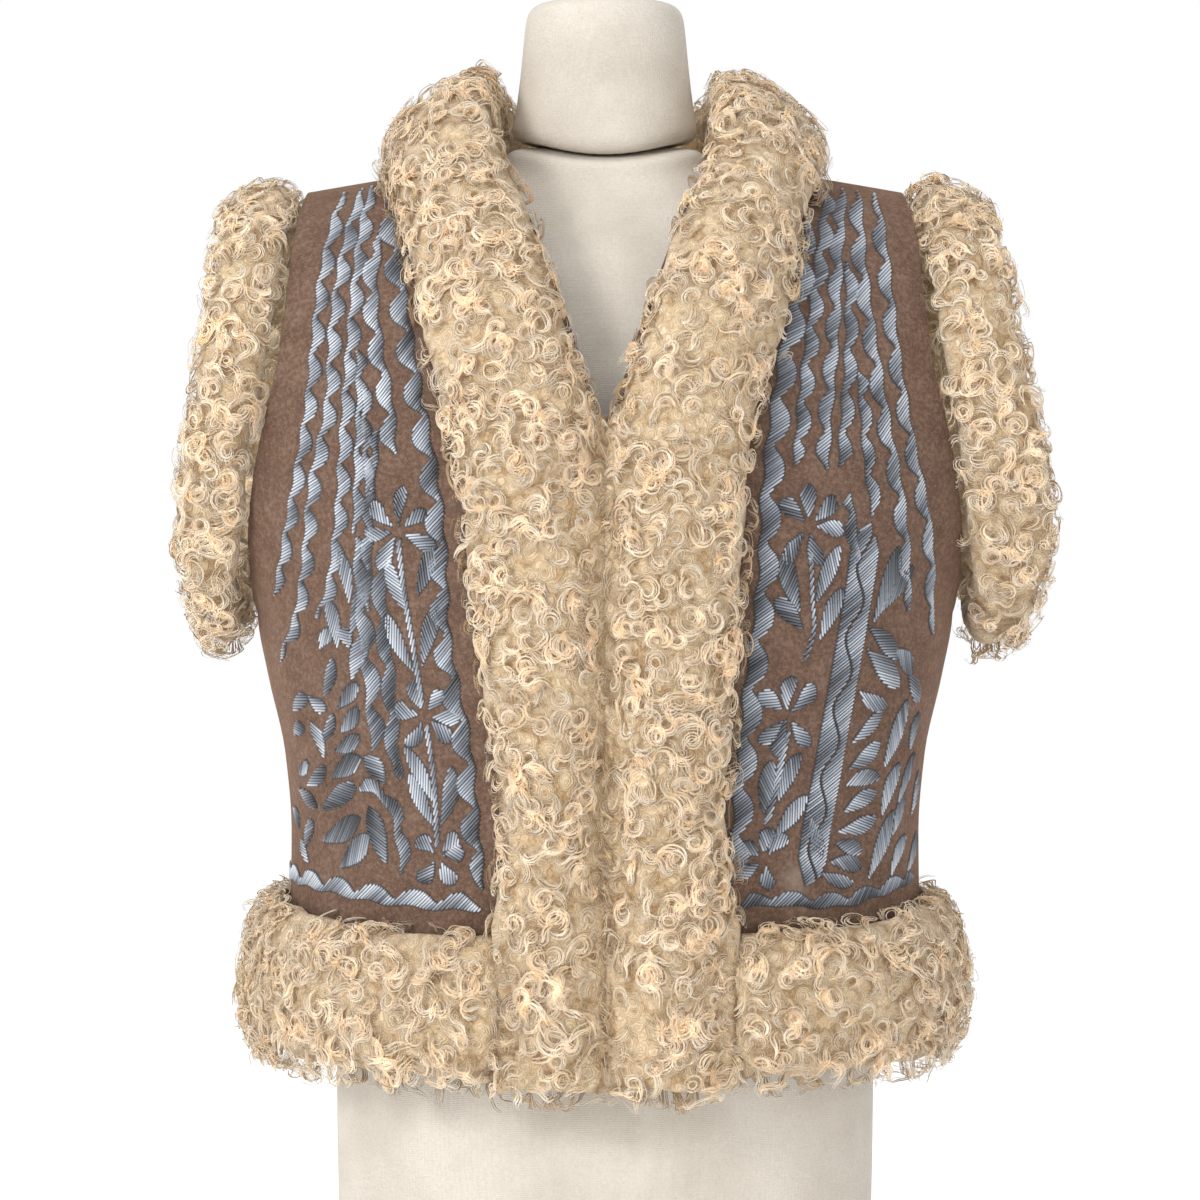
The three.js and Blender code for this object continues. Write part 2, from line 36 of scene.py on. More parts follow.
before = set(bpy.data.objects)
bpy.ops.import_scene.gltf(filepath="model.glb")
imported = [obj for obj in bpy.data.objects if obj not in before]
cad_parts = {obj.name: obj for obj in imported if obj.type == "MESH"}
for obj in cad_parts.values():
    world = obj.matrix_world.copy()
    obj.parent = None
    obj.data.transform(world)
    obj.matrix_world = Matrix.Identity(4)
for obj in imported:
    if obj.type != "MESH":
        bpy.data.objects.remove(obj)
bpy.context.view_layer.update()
random = np.random.default_rng(SEED)


# --- tables and curves ---------------------------------------------------------------------------
def table(text):
    """Rows of numbers under a line of column names, as {name: array}."""
    head, *rows = [line.split() for line in text.strip().splitlines()]
    return dict(zip(head, np.array(rows, float).T))


def column(columns, by, name):
    """A smooth curve through one column of a table, which never overshoots its rows."""
    x, y = columns[by], columns[name]
    secant = np.diff(y) / np.diff(x)
    before, after = np.r_[secant[0], secant], np.r_[secant, secant[-1]]
    same_way = before * after > 0
    total = np.where(same_way, before + after, 1)
    slope = np.where(same_way, 2 * before * after / total, 0)

    def curve(at):
        at = np.clip(at, x[0], x[-1])
        i = np.clip(np.searchsorted(x, at, "right") - 1, 0, len(x) - 2)
        width = x[i + 1] - x[i]
        t = (at - x[i]) / width
        bend = t * t * (3 - 2 * t)
        ease = slope[i] * t * (1 - t) ** 2 - slope[i + 1] * t * t * (1 - t)
        return y[i] + (y[i + 1] - y[i]) * bend + width * ease

    return curve


def unit(vectors):
    length = np.linalg.norm(vectors, axis=-1, keepdims=True)
    return vectors / np.maximum(length, 1e-9)


def smoothstep(x, low, high):
    t = np.clip((x - low) / (high - low), 0, 1)
    return t * t * (3 - 2 * t)


# --- the vest's surface, from the frame's sizes --------------------------------------------------
SECTION_POWER = 2.3
SUEDE_HEM, SHOULDER_TIP, ARMHOLE_FOOT = 164, 713, 440
SUEDE_THICKNESS = 2.4
SEAM_GAP = 0.4
NECK_HALF, NECK_DROP = 76, 17
ARCH = {"front": (470, 2.4), "back": (505, 2.4)}
ARMHOLE_HALF = {"front": 88, "back": 84}
RISE_FROM, RISE = 560, 0.17  # the shoulders slope up towards the neck, from this height and at this rate
OPENING_TOP = 545  # above it the front edges leave the middle line
MOST_SHARE = 0.95  # the most of a row's depth that the armhole's edge takes
VEST = table(
    """
    height side front back
    140 208 147 141
    200 205.5 146 139
    250 203.5 145 136
    300 203 144 132
    350 207 145 131
    400 218 148 132
    440 225 150 134
    480 226 150 136
    520 222 150 136
    560 214 150 136
    600 205 150 136
    640 200.5 150 136
    680 197 150 136
    713 192 150 136
    """
)
FRONT_EDGE = table(
    """
    height inset
    150 1.2
    545 1.2
    590 14
    640 35
    685 56
    713 76
    """
)
# The frame's folds, on both sides alike. across is a share of the half-width.
FOLDS = {
    "front": table(
        """
        across height tall wide depth
        0.82 330 85 0.06 -5
        0.92 385 70 0.04 4
        0.62 690 50 0.12 -3
        """
    ),
    "back": table(
        """
        across height tall wide depth
        0.50 320 70 0.10 -4
        0.70 360 90 0.08 3.5
        0.86 330 80 0.06 -4
        """
    ),
}
# Smaller creases of the suede, different on each side. lean is the share that each moves across for each
# millimetre of height.
CREASES = {
    ("front", -1): table(
        """
        across height tall wide lean depth
        0.88 430 60 0.035 0.0004 -2.6
        0.96 405 55 0.020 0.0003 1.6
        0.74 420 70 0.030 0.0005 -1.5
        0.80 300 45 0.040 -0.0006 1.2
        0.60 250 40 0.050 0.0010 -1.3
        0.90 240 38 0.040 -0.0008 -1.4
        """
    ),
    ("front", 1): table(
        """
        across height tall wide lean depth
        0.91 400 62 0.030 -0.0004 -2.4
        0.84 425 50 0.030 0.0002 1.3
        0.94 320 60 0.030 0.0006 -2.0
        0.70 255 38 0.060 0.0012 -1.2
        0.78 350 60 0.035 -0.0004 -1.4
        """
    ),
    ("back", -1): table(
        """
        across height tall wide lean depth
        0.30 380 70 0.060 0.0010 -2.0
        0.93 410 55 0.030 0.0004 -2.2
        0.60 470 50 0.060 -0.0010 -1.8
        0.42 250 40 0.070 0.0014 -1.5
        """
    ),
    ("back", 1): table(
        """
        across height tall wide lean depth
        0.24 350 80 0.055 -0.0008 -2.2
        0.90 390 60 0.030 0.0003 -2.0
        0.66 440 55 0.055 0.0010 -1.6
        0.50 245 38 0.060 -0.0012 -1.4
        """
    ),
}

side_at = column(VEST, "height", "side")
depth_at = {face: column(VEST, "height", face) for face in ("front", "back")}
inset_at = column(FRONT_EDGE, "height", "inset")


def body_depth(face, height):
    start, power = ARCH[face]
    up = np.maximum(0, (height - start) / (SHOULDER_TIP - start))
    return depth_at[face](height) * np.sqrt(np.maximum(1e-6, 1 - up**power))


def edge_depth(face, height):
    half = (SHOULDER_TIP - ARMHOLE_FOOT) / 2
    offset = (height - ARMHOLE_FOOT - half) / half
    return ARMHOLE_HALF[face] * np.sqrt(np.maximum(0, 1 - offset * offset))


def full_width(face, height):
    height = np.minimum(height, SHOULDER_TIP - 0.2)
    share = np.minimum(MOST_SHARE, edge_depth(face, height) / body_depth(face, height))
    return side_at(height) / (1 - share**SECTION_POWER) ** (1 / SECTION_POWER)


def rise_at(height):
    return RISE * smoothstep(height, RISE_FROM, SHOULDER_TIP)


def bells(rows, height, across):
    """The sum of a table's soft troughs and ridges."""
    total = np.zeros(np.broadcast(height, across).shape)
    for i in range(len(rows["across"])):
        level = (height - rows["height"][i]) / rows["tall"][i]
        lean = rows["lean"][i] if "lean" in rows else 0
        at = rows["across"][i] + lean * (height - rows["height"][i])
        total += rows["depth"][i] * np.exp(-(level**2) - ((across - at) / rows["wide"][i]) ** 2)
    return total


def on_vest(face, side, height, x):
    """Points of the suede's outer surface, at a row's height and a distance x from the middle plane."""
    across = np.minimum(1, x / full_width(face, height))
    round_depth = body_depth(face, height) * (1 - across**SECTION_POWER) ** (1 / SECTION_POWER)
    share = np.minimum(1, x / side_at(height))
    folds = bells(FOLDS[face], height, share) + bells(CREASES[face, side], height, share)
    depth = np.maximum(0, round_depth + folds * (1 - share**6))
    z = height + rise_at(height) * (side_at(height) - x)
    y = -depth if face == "front" else depth
    return np.stack(np.broadcast_arrays(side * x, y, z), axis=-1)


def across_section(face, height, inner, outer, share):
    """Distances from the middle plane, evenly along the bend from inner to outer."""
    width = full_width(face, height)
    low, high = (np.arcsin(np.minimum(1, x / width) ** (SECTION_POWER / 2)) for x in (inner, outer))
    return width * np.sin(low + (high - low) * share) ** (2 / SECTION_POWER)


class Cloth:
    """One half of the vest's front or back, laid out flat.

    s is the distance round the body from its middle line and z the height."""

    STEP = 4
    REACH = 340
    TOP = 700.0  # rows above it share its width
    ROUNDS = 30  # steps that find the row of a sloping shoulder

    def __init__(self, face, side):
        self.z = np.arange(SUEDE_HEM, SHOULDER_TIP + 24, self.STEP, dtype=float)
        self.s = np.arange(0, self.REACH, self.STEP, dtype=float)
        share = np.linspace(0, 1, 160)
        rows, valid, self.x_rows, self.s_rows = [], [], [], []
        for z in self.z:
            x = across_section(face, min(z, self.TOP), 0.0, side_at(min(z, self.TOP)), share)
            height = np.full_like(x, z)
            for _ in range(self.ROUNDS):
                height = np.minimum(z - rise_at(height) * (side_at(height) - x), SHOULDER_TIP)
            points = on_vest(face, side, height, np.minimum(x, side_at(height)))
            run = np.r_[0, np.cumsum(np.linalg.norm(np.diff(points, axis=0), axis=1))]
            rows.append(np.stack([np.interp(self.s, run, points[:, k]) for k in range(3)], -1))
            on = height < SHOULDER_TIP - 0.5
            valid.append((self.s < run[-1] - 1) & (np.interp(self.s, run, on * 1.0) > 0.99))
            self.x_rows.append(x)
            self.s_rows.append(run)
        self.points = np.array(rows)
        self.valid = np.array(valid, float)
        d_s = np.gradient(self.points, axis=1)
        d_z = np.gradient(self.points, axis=0)
        normals = unit(np.cross(d_s, d_z))
        outward = side if face == "front" else -side
        self.normals = normals * outward
        self.normals[np.linalg.norm(d_s, axis=-1) < 0.5] = 0

    def s_of(self, x, z):
        """How far round the body a point is that stands x from the middle plane."""
        i = np.clip(np.rint((z - self.z[0]) / self.STEP).astype(int), 0, len(self.z) - 1)
        return np.interp(x, self.x_rows[i], self.s_rows[i])

    def at(self, s, z):
        """Points, outward normals and whether they are on the suede."""
        col = np.clip(s / self.STEP, 0, len(self.s) - 1.001)
        row = np.clip((z - self.z[0]) / self.STEP, 0, len(self.z) - 1.001)
        i, j = row.astype(int), col.astype(int)
        a, b = (row - i)[..., None], (col - j)[..., None]

        def blend(grid):
            low = grid[i, j] * (1 - b) + grid[i, j + 1] * b
            high = grid[i + 1, j] * (1 - b) + grid[i + 1, j + 1] * b
            return low * (1 - a) + high * a

        on = blend(self.valid[..., None])[..., 0] > 0.999
        return blend(self.points), unit(blend(self.normals)), on


# --- meshes --------------------------------------------------------------------------------------
def place_object(name, data):
    """A new object in the scene, from a mesh, a light or a camera."""
    made = bpy.data.objects.new(name, data)
    bpy.context.scene.collection.objects.link(made)
    return made


def mesh_object(name, points, faces, uv=None, normals=None, **values):
    """A smooth mesh of four-sided faces. uv, normals and the named values are given point by point."""
    faces = np.asarray(faces)
    mesh = bpy.data.meshes.new(name)
    mesh.vertices.add(len(points))
    mesh.vertices.foreach_set("co", (np.asarray(points) * MM).ravel())
    mesh.loops.add(faces.size)
    mesh.loops.foreach_set("vertex_index", faces.ravel())
    mesh.polygons.add(len(faces))
    mesh.polygons.foreach_set("loop_start", np.arange(0, faces.size, 4))
    mesh.update(calc_edges=True)
    if uv is not None:
        layer = mesh.uv_layers.new(name="OFBake")
        layer.data.foreach_set("uv", uv[faces.ravel()].ravel())
    for key, value in values.items():
        attribute = mesh.attributes.new(key, "FLOAT", "POINT")
        attribute.data.foreach_set("value", np.asarray(value, np.float32))
    mesh.shade_smooth()
    if normals is not None:
        mesh.normals_split_custom_set_from_vertices(normals)
    return place_object(name, mesh)


def finish_piece(piece, material, slot, *nodes):
    piece.data.materials.append(material)
    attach(piece, "root")
    if nodes:
        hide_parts(*nodes)
    return piece


def grid_faces(rows, columns, start=0):
    """The faces of a grid of points, row by row."""
    i, j = np.meshgrid(np.arange(rows - 1), np.arange(columns - 1), indexing="ij")
    corner = (start + i * columns + j).ravel()
    return np.stack([corner, corner + 1, corner + columns + 1, corner + columns], -1)


def strips(centres, sides, lifts, profile):
    """Many strips at once, from centres, sides and lifts as [strip, station, 3].

    Each station gets the profile's points, at shares of its side and its lift. Returns the points, the faces,
    and each point's strip, station and profile index."""
    count, stations = centres.shape[:2]
    across = len(profile)
    shape = np.array(profile)
    points = (
        centres[:, :, None]
        + sides[:, :, None] * shape[None, None, :, :1]
        + lifts[:, :, None] * shape[None, None, :, 1:]
    )
    one = grid_faces(stations, across)
    faces = (one[None] + (np.arange(count) * stations * across)[:, None, None]).reshape(-1, 4)
    index = np.indices((count, stations, across)).reshape(3, -1)
    return points.reshape(-1, 3), faces, index


def cells(index, count, stations, across):
    """A UV map that gives each strip a cell of its own."""
    per_side = int(np.ceil(np.sqrt(count)))
    strip, station, point = index
    u = (strip % per_side + 0.1 + 0.8 * point / (across - 1)) / per_side
    v = (strip // per_side + 0.05 + 0.9 * station / (stations - 1)) / per_side
    return np.stack([u, v], -1)


# --- materials -----------------------------------------------------------------------------------
def linear(code):
    """A linear colour from a six-digit sRGB code."""
    values = np.array([int(code[i : i + 2], 16) for i in (0, 2, 4)]) / 255
    low = values / 12.92
    high = ((values + 0.055) / 1.055) ** 2.4
    return (*np.where(values <= 0.04045, low, high), 1.0)


class Shader:
    """A material's nodes, made and linked by short calls."""

    def __init__(self, name, roughness, **constants):
        self.material = bpy.data.materials.new(name)
        self.material.use_nodes = True
        self.tree = self.material.node_tree
        self.surface = self.tree.nodes["Principled BSDF"]
        self.surface.inputs["Roughness"].default_value = roughness
        for key, value in constants.items():
            self.feed(self.surface.inputs[key.replace("_", " ")], value)

    def node(self, kind, inputs=(), **settings):
        node = self.tree.nodes.new("ShaderNode" + kind)
        for key, value in settings.items():
            setattr(node, key, value)
        for key, value in dict(inputs).items():
            self.feed(node.inputs[key], value)
        return node

    def feed(self, socket, value):
        """Puts a link, a colour's code or a plain value into a socket."""
        if isinstance(value, bpy.types.NodeSocket):
            self.tree.links.new(value, socket)
        else:
            socket.default_value = linear(value) if isinstance(value, str) else value

    def attribute(self, name):
        return self.node("Attribute", attribute_name=name).outputs["Fac"]

    def place(self):
        return self.node("TexCoord").outputs["Object"]

    def noise(self, size_mm, detail=2.0, roughness=0.5):
        inputs = {"Scale": 1 / (size_mm * MM), "Detail": detail, "Roughness": roughness}
        inputs["Vector"] = self.place()
        return self.node("TexNoise", inputs).outputs["Fac"]

    def maths(self, operation, a, b=0.0, c=0.0):
        return self.node("Math", {0: a, 1: b, 2: c}, operation=operation).outputs[0]

    def add(self, a, b):
        return self.maths("ADD", a, b)

    def times(self, a, b):
        return self.maths("MULTIPLY", a, b)

    def grey(self, value):
        return self.node("CombineColor", {"Red": value, "Green": value, "Blue": value}).outputs[0]

    def remap(self, value, low, high, to_low=0.0, to_high=1.0):
        inputs = {"Value": value, "From Min": low, "From Max": high, "To Min": to_low, "To Max": to_high}
        return self.node("MapRange", inputs).outputs["Result"]

    def mix(self, factor, a, b, blend="MIX"):
        node = self.node("Mix", data_type="RGBA", blend_type=blend)
        for socket, value in zip((node.inputs[0], node.inputs[6], node.inputs[7]), (factor, a, b)):
            self.feed(socket, value)
        return node.outputs[2]

    def ramp(self, value, *stops):
        node = self.node("ValToRGB", {"Fac": value})
        elements = node.color_ramp.elements
        while len(elements) < len(stops):
            elements.new(0.5)
        for element, (at, colour) in zip(elements, stops):
            element.position, element.color = at, linear(colour)
        return node.outputs["Color"]

    def bump(self, height, depth_mm, strength):
        inputs = {"Height": height, "Distance": depth_mm * MM, "Strength": strength}
        return self.node("Bump", inputs).outputs["Normal"]

    def finish(self, colour, normal=None):
        self.feed(self.surface.inputs["Base Color"], colour)
        if normal is not None:
            self.feed(self.surface.inputs["Normal"], normal)
        return self.material


def suede_material():
    made = Shader(
        "suede", 0.95, Sheen_Weight=0.35, Sheen_Roughness=0.45, Specular_IOR_Level=0.15, Sheen_Tint="c9a48c"
    )
    nap = made.noise(1.1, 4, roughness=0.65)
    blotch = made.noise(26, 3)
    streak = made.noise(7, 3)
    tone = made.add(made.times(blotch, 0.55), made.times(streak, 0.45))
    base = made.ramp(tone, (0.3, "513d33"), (0.5, "6a5345"), (0.7, "7e685b"))
    fleck = made.remap(nap, 0.38, 0.66)
    base = made.mix(made.times(fleck, 0.55), base, "8f7668")
    base = made.mix(made.remap(made.noise(2.6, 3), 0.42, 0.62, 0.45, 0.0), base, "48362c")
    for x, z, radius in ((-131, 283, 11), (120, 277, 14)):  # pale worn spots low on each front
        spot = made.node("VectorMath", {0: made.place(), 1: (x * MM, -0.13, z * MM)}, operation="DISTANCE")
        far = made.add(spot.outputs["Value"], made.times(streak, 0.012))
        worn = made.remap(far, 0.006 + radius * MM, radius * MM * 0.4, 0.0, 0.5)
        base = made.mix(worn, base, "b3a296")
    height = made.add(nap, made.times(made.noise(4, 3), 1.5))
    return made.finish(base, made.bump(height, 0.5, 0.8))


def silk_material():
    made = Shader("embroidery_silk", 0.3, Specular_IOR_Level=0.6, Sheen_Weight=0.1)
    # tone holds each stitch's painted sheen, painted highlight and painted shade
    across, tone = made.attribute("across"), made.attribute("tone")
    fibre = made.noise(0.6, 2)
    tone = made.add(tone, made.remap(fibre, 0.3, 0.7, -0.06, 0.06))
    stops = ((0.0, "0b0c0f"), (0.2, "3c3f46"), (0.42, "696e77"), (0.65, "9ba2ae"), (1.0, "dce3ed"))
    base = made.ramp(tone, *stops)
    # painted shade: each stitch darkens towards its edges, into the grooves between stitches
    off_middle = made.maths("ABSOLUTE", made.maths("MULTIPLY_ADD", across, 2.0, -1.0))
    groove_shade = made.maths("POWER", off_middle, 1.7)
    base = made.mix(made.times(groove_shade, 0.95), base, "0a0b0e")
    plies = made.maths("SINE", made.times(across, 18.8))  # three across a stitch
    return made.finish(base, made.bump(plies, 0.06, 0.5))


def wool_material():
    made = Shader(
        "lambswool",
        0.6,
        Specular_IOR_Level=0.25,
        Sheen_Weight=0.6,
        Sheen_Roughness=0.5,
        Sheen_Tint="fff0d8",
        Subsurface_Weight=0.85,
        Subsurface_Radius=(1.0, 0.75, 0.5),
        Subsurface_Scale=5 * MM,
        # a faint glow in the wool: painted light that lifts its shade, between curls and at their edges
        Emission_Color="dcc09c",
        Emission_Strength=0.1,
    )
    made.surface.subsurface_method = "BURLEY"
    along, tone, across = (made.attribute(name) for name in ("along", "tone", "across"))
    base = made.ramp(along, (0.0, "c8aa82"), (0.25, "ddc8a9"), (0.6, "eedec5"), (1.0, "f7ecda"))
    hairs = made.maths("SINE", made.times(across, 12.6))  # two across a strip
    # painted shade in the grooves between hairs, deeper on locks of lower tone
    groove_shade, shade = made.remap(hairs, -1.0, 1.0, 1.0, 0.2), made.remap(tone, 0.0, 1.0, 0.55, 0.0)
    dark = made.times(groove_shade, shade)
    base = made.mix(dark, base, "b18f68")
    return made.finish(base, made.bump(hairs, 0.06, 0.6))


def fleece_material():
    """The pile under the curls: rings of fine hair round scattered middles, each painted lighter on its ring,
    with painted shade in its middle, towards its edge and between its rings.
    """
    made = Shader("fleece_skin", 0.8, Specular_IOR_Level=0.15, Sheen_Weight=0.3)
    wander = {"Vector": made.place(), "Scale": 1 / (6 * MM), "Detail": 1.0}
    drift = made.node("TexNoise", wander).outputs["Color"]
    moved = made.node("VectorMath", {0: drift, "Scale": 5 * MM}, operation="SCALE").outputs[0]
    place = made.node("VectorMath", {0: made.place(), 1: moved}, operation="ADD").outputs[0]
    middles = made.node("TexVoronoi", {"Vector": place, "Scale": 1 / (9 * MM), "Randomness": 1.0})
    away = middles.outputs["Distance"]
    rings = made.maths("SINE", made.times(away, 40.0))
    # painted light: a painted highlight on each curl's ring, painted shade in its middle and towards its edge
    base = made.ramp(away, (0.1, "b6946a"), (0.3, "e1ccac"), (0.6, "d1b894"), (0.8, "a5845a"))
    # painted shade in the lines between the rings
    base = made.mix(made.remap(rings, -1.0, 1.0, 0.5, 0.0), base, "a17c50")
    base = made.mix(made.remap(made.noise(1.4, 2), 0.35, 0.65, 0.0, 0.3), base, "f0dfc0")
    height = made.add(made.times(away, -3.0), made.times(rings, 0.35))
    return made.finish(base, made.bump(height, 0.8, 0.9))


THREADS = 1 / (1.15 * MM) / 6.2832 * 2  # the weave's scale, for threads 1.15 mm apart


def canvas_material():
    made = Shader("form_canvas", 0.88, Specular_IOR_Level=0.2, Sheen_Weight=0.15)
    vector = made.place()
    threads = []
    for direction in ("X", "Y", "Z"):
        inputs = {"Vector": vector, "Scale": THREADS, "Distortion": 1.2, "Detail": 1.5}
        wave = made.node("TexWave", inputs, bands_direction=direction)
        threads.append(wave.outputs["Fac"])
    weave = made.times(made.add(threads[0], threads[1]), threads[2])
    pebble = made.noise(1.6, 3, roughness=0.6)
    blotch = made.noise(60, 3)
    base = made.ramp(blotch, (0.35, "c9c1b5"), (0.65, "d8d1c6"))
    fleck = made.remap(pebble, 0.3, 0.7, 0.90, 1.04)
    base = made.mix(1.0, base, made.grey(fleck), "MULTIPLY")
    height = made.add(made.times(weave, 0.5), pebble)
    return made.finish(base, made.bump(height, 0.35, 0.7))


# --- suede ---------------------------------------------------------------------------------------
SHARP_ANGLE = 0.9  # radians; edges turned further than this are drawn sharp


def shell(name, grid, flatten):
    """A closed wall behind a grid of points, [row, column, 3]. flatten(normals) keeps its seams flat."""
    rows, columns = grid.shape[:2]
    normals = np.cross(np.gradient(grid, axis=1), np.gradient(grid, axis=0))
    middle = normals[rows // 2, columns // 2]
    if np.dot(middle, grid[rows // 2, columns // 2] * (1, 1, 0)) < 0:
        normals = -normals
    flatten(normals)
    inside = grid - unit(normals) * SUEDE_THICKNESS
    count = rows * columns
    outer = grid_faces(rows, columns)
    inner = grid_faces(rows, columns, count)[:, ::-1]
    rim = np.r_[
        np.arange(columns - 1),
        np.arange(columns - 1, count - 1, columns),
        np.arange(count - 1, count - columns, -1),
        np.arange(count - columns, 0, -columns),
    ]
    following = np.roll(rim, -1)
    edge = np.stack([following, rim, rim + count, following + count], -1)
    faces = np.concatenate([outer, inner, edge])
    points = np.concatenate([grid.reshape(-1, 3), inside.reshape(-1, 3)])
    piece = mesh_object(name, points, faces)
    tidy = bmesh.new()
    tidy.from_mesh(piece.data)
    bmesh.ops.recalc_face_normals(tidy, faces=tidy.faces)
    tidy.to_mesh(piece.data)
    tidy.free()
    piece.data.set_sharp_from_angle(angle=SHARP_ANGLE)
    return piece


ROWS_BELOW, ROWS_BESIDE, COLUMNS = 34, 46, 34


def panel_heights():
    below = np.linspace(SUEDE_HEM, ARMHOLE_FOOT, ROWS_BELOW, endpoint=False)
    share = (1 - np.cos(np.linspace(0, np.pi, ROWS_BESIDE))) / 2
    return np.r_[below, ARMHOLE_FOOT + (SHOULDER_TIP - ARMHOLE_FOOT) * share]


def front_panel(side):
    heights = panel_heights()[:, None]
    share = np.linspace(0, 1, COLUMNS)[None]
    x = across_section("front", heights, inset_at(heights), side_at(heights), share)
    grid = on_vest("front", side, heights, x)
    grid[..., 1] = np.minimum(grid[..., 1], -SEAM_GAP / 2)
    below = heights[:, 0] <= ARMHOLE_FOOT

    def flatten(normals):
        normals[-1, :, 1] = 0
        normals[below, -1, 1:] = 0
        normals[heights[:, 0] < OPENING_TOP, 0, 0] = 0

    return shell("front_left_suede" if side > 0 else "front_right_suede", grid, flatten)


def back_panel():
    heights = panel_heights()[:, None]
    share = np.linspace(-1, 1, COLUMNS * 2 - 1)[None]
    top = across_section("back", SHOULDER_TIP, 0.0, side_at(SHOULDER_TIP), abs(share))
    drop = NECK_DROP * np.maximum(0, 1 - (top / NECK_HALF) ** 2)
    level = heights - drop * (heights - SUEDE_HEM) / (SHOULDER_TIP - SUEDE_HEM)
    x = across_section("back", level, 0.0, side_at(level), abs(share))
    right, left = (on_vest("back", side, level, x) for side in (-1, 1))
    fade = smoothstep(x, 0, 30)[..., None]  # the two halves' creases meet at the middle
    middle = (right * (-1, 1, 1) + left) / 2
    halves = np.where(share[..., None] < 0, right * (-1, 1, 1), left)
    grid = middle * (1 - fade) + halves * fade
    grid[..., 0] *= np.sign(share)
    grid[..., 1] = np.maximum(grid[..., 1], SEAM_GAP / 2)
    below = heights[:, 0] <= ARMHOLE_FOOT

    def flatten(normals):
        on_shoulder = abs(grid[-1, :, 0]) > NECK_HALF
        normals[-1, on_shoulder, 1] = 0
        normals[below, 0, 1:] = 0
        normals[below, -1, 1:] = 0

    return shell("back_suede", grid, flatten)


suede = suede_material()
for side, node in ((1, "front_left"), (-1, "front_right")):
    panel = finish_piece(front_panel(side), suede, "suede", node)
back = finish_piece(back_panel(), suede, "suede", "back")


# --- embroidery ----------------------------------------------------------------------------------
STITCH_WIDTH, STITCH_HEIGHT, STITCH_STEP = 1.75, 1.3, 1.7
STITCH_END = 0.9  # how far from its ends a stitch dips into the suede
STITCH_PAST = 0.6  # and how far past them its needle holes and their painted shadow reach
SHORTEST_STITCH = 1.8
STITCH_BOW = 0.05  # how much a stitch bends, as a share of its length
STITCH_JITTER = 0.12
SETTLE_ROUNDS = 12  # steps that find where a slanting stitch ends
PETAL_START = 3.2  # how far from the flower's centre a petal starts
PETAL_SWELL = 1.8  # the higher, the nearer its tip a petal is widest
PATH_STEP = 0.5
PATH_PIECES, OUTLINE_POINTS = 24, 24
TWIN_GAP = 0.7  # how far each of two twin bands stops short of their shared line
SHEEN_SWING = 0.17  # how far a band's painted sheen swings lighter and darker along it


def smooth_path(points):
    """A rounded line through a few points: the distance along it, its points and its left-hand normals."""
    points = np.array(points, float)
    padded = np.vstack([2 * points[0] - points[1], points, 2 * points[-1] - points[-2]])
    t = np.linspace(0, 1, PATH_PIECES, endpoint=False)[:, None]
    out = []
    for a, b, c, d in zip(padded, padded[1:], padded[2:], padded[3:]):
        bend = 2 * b + (c - a) * t + (2 * a - 5 * b + 4 * c - d) * t**2 + (3 * b - a - 3 * c + d) * t**3
        out.append(bend / 2)
    line = np.vstack([*out, points[-1]])
    run = np.r_[0, np.cumsum(np.linalg.norm(np.diff(line, axis=0), axis=1))]
    at = np.arange(0, run[-1], PATH_STEP)
    line = np.stack([np.interp(at, run, line[:, k]) for k in (0, 1)], -1)
    tangent = unit(np.gradient(line, axis=0))
    return at, line, np.stack([-tangent[:, 1], tangent[:, 0]], -1)


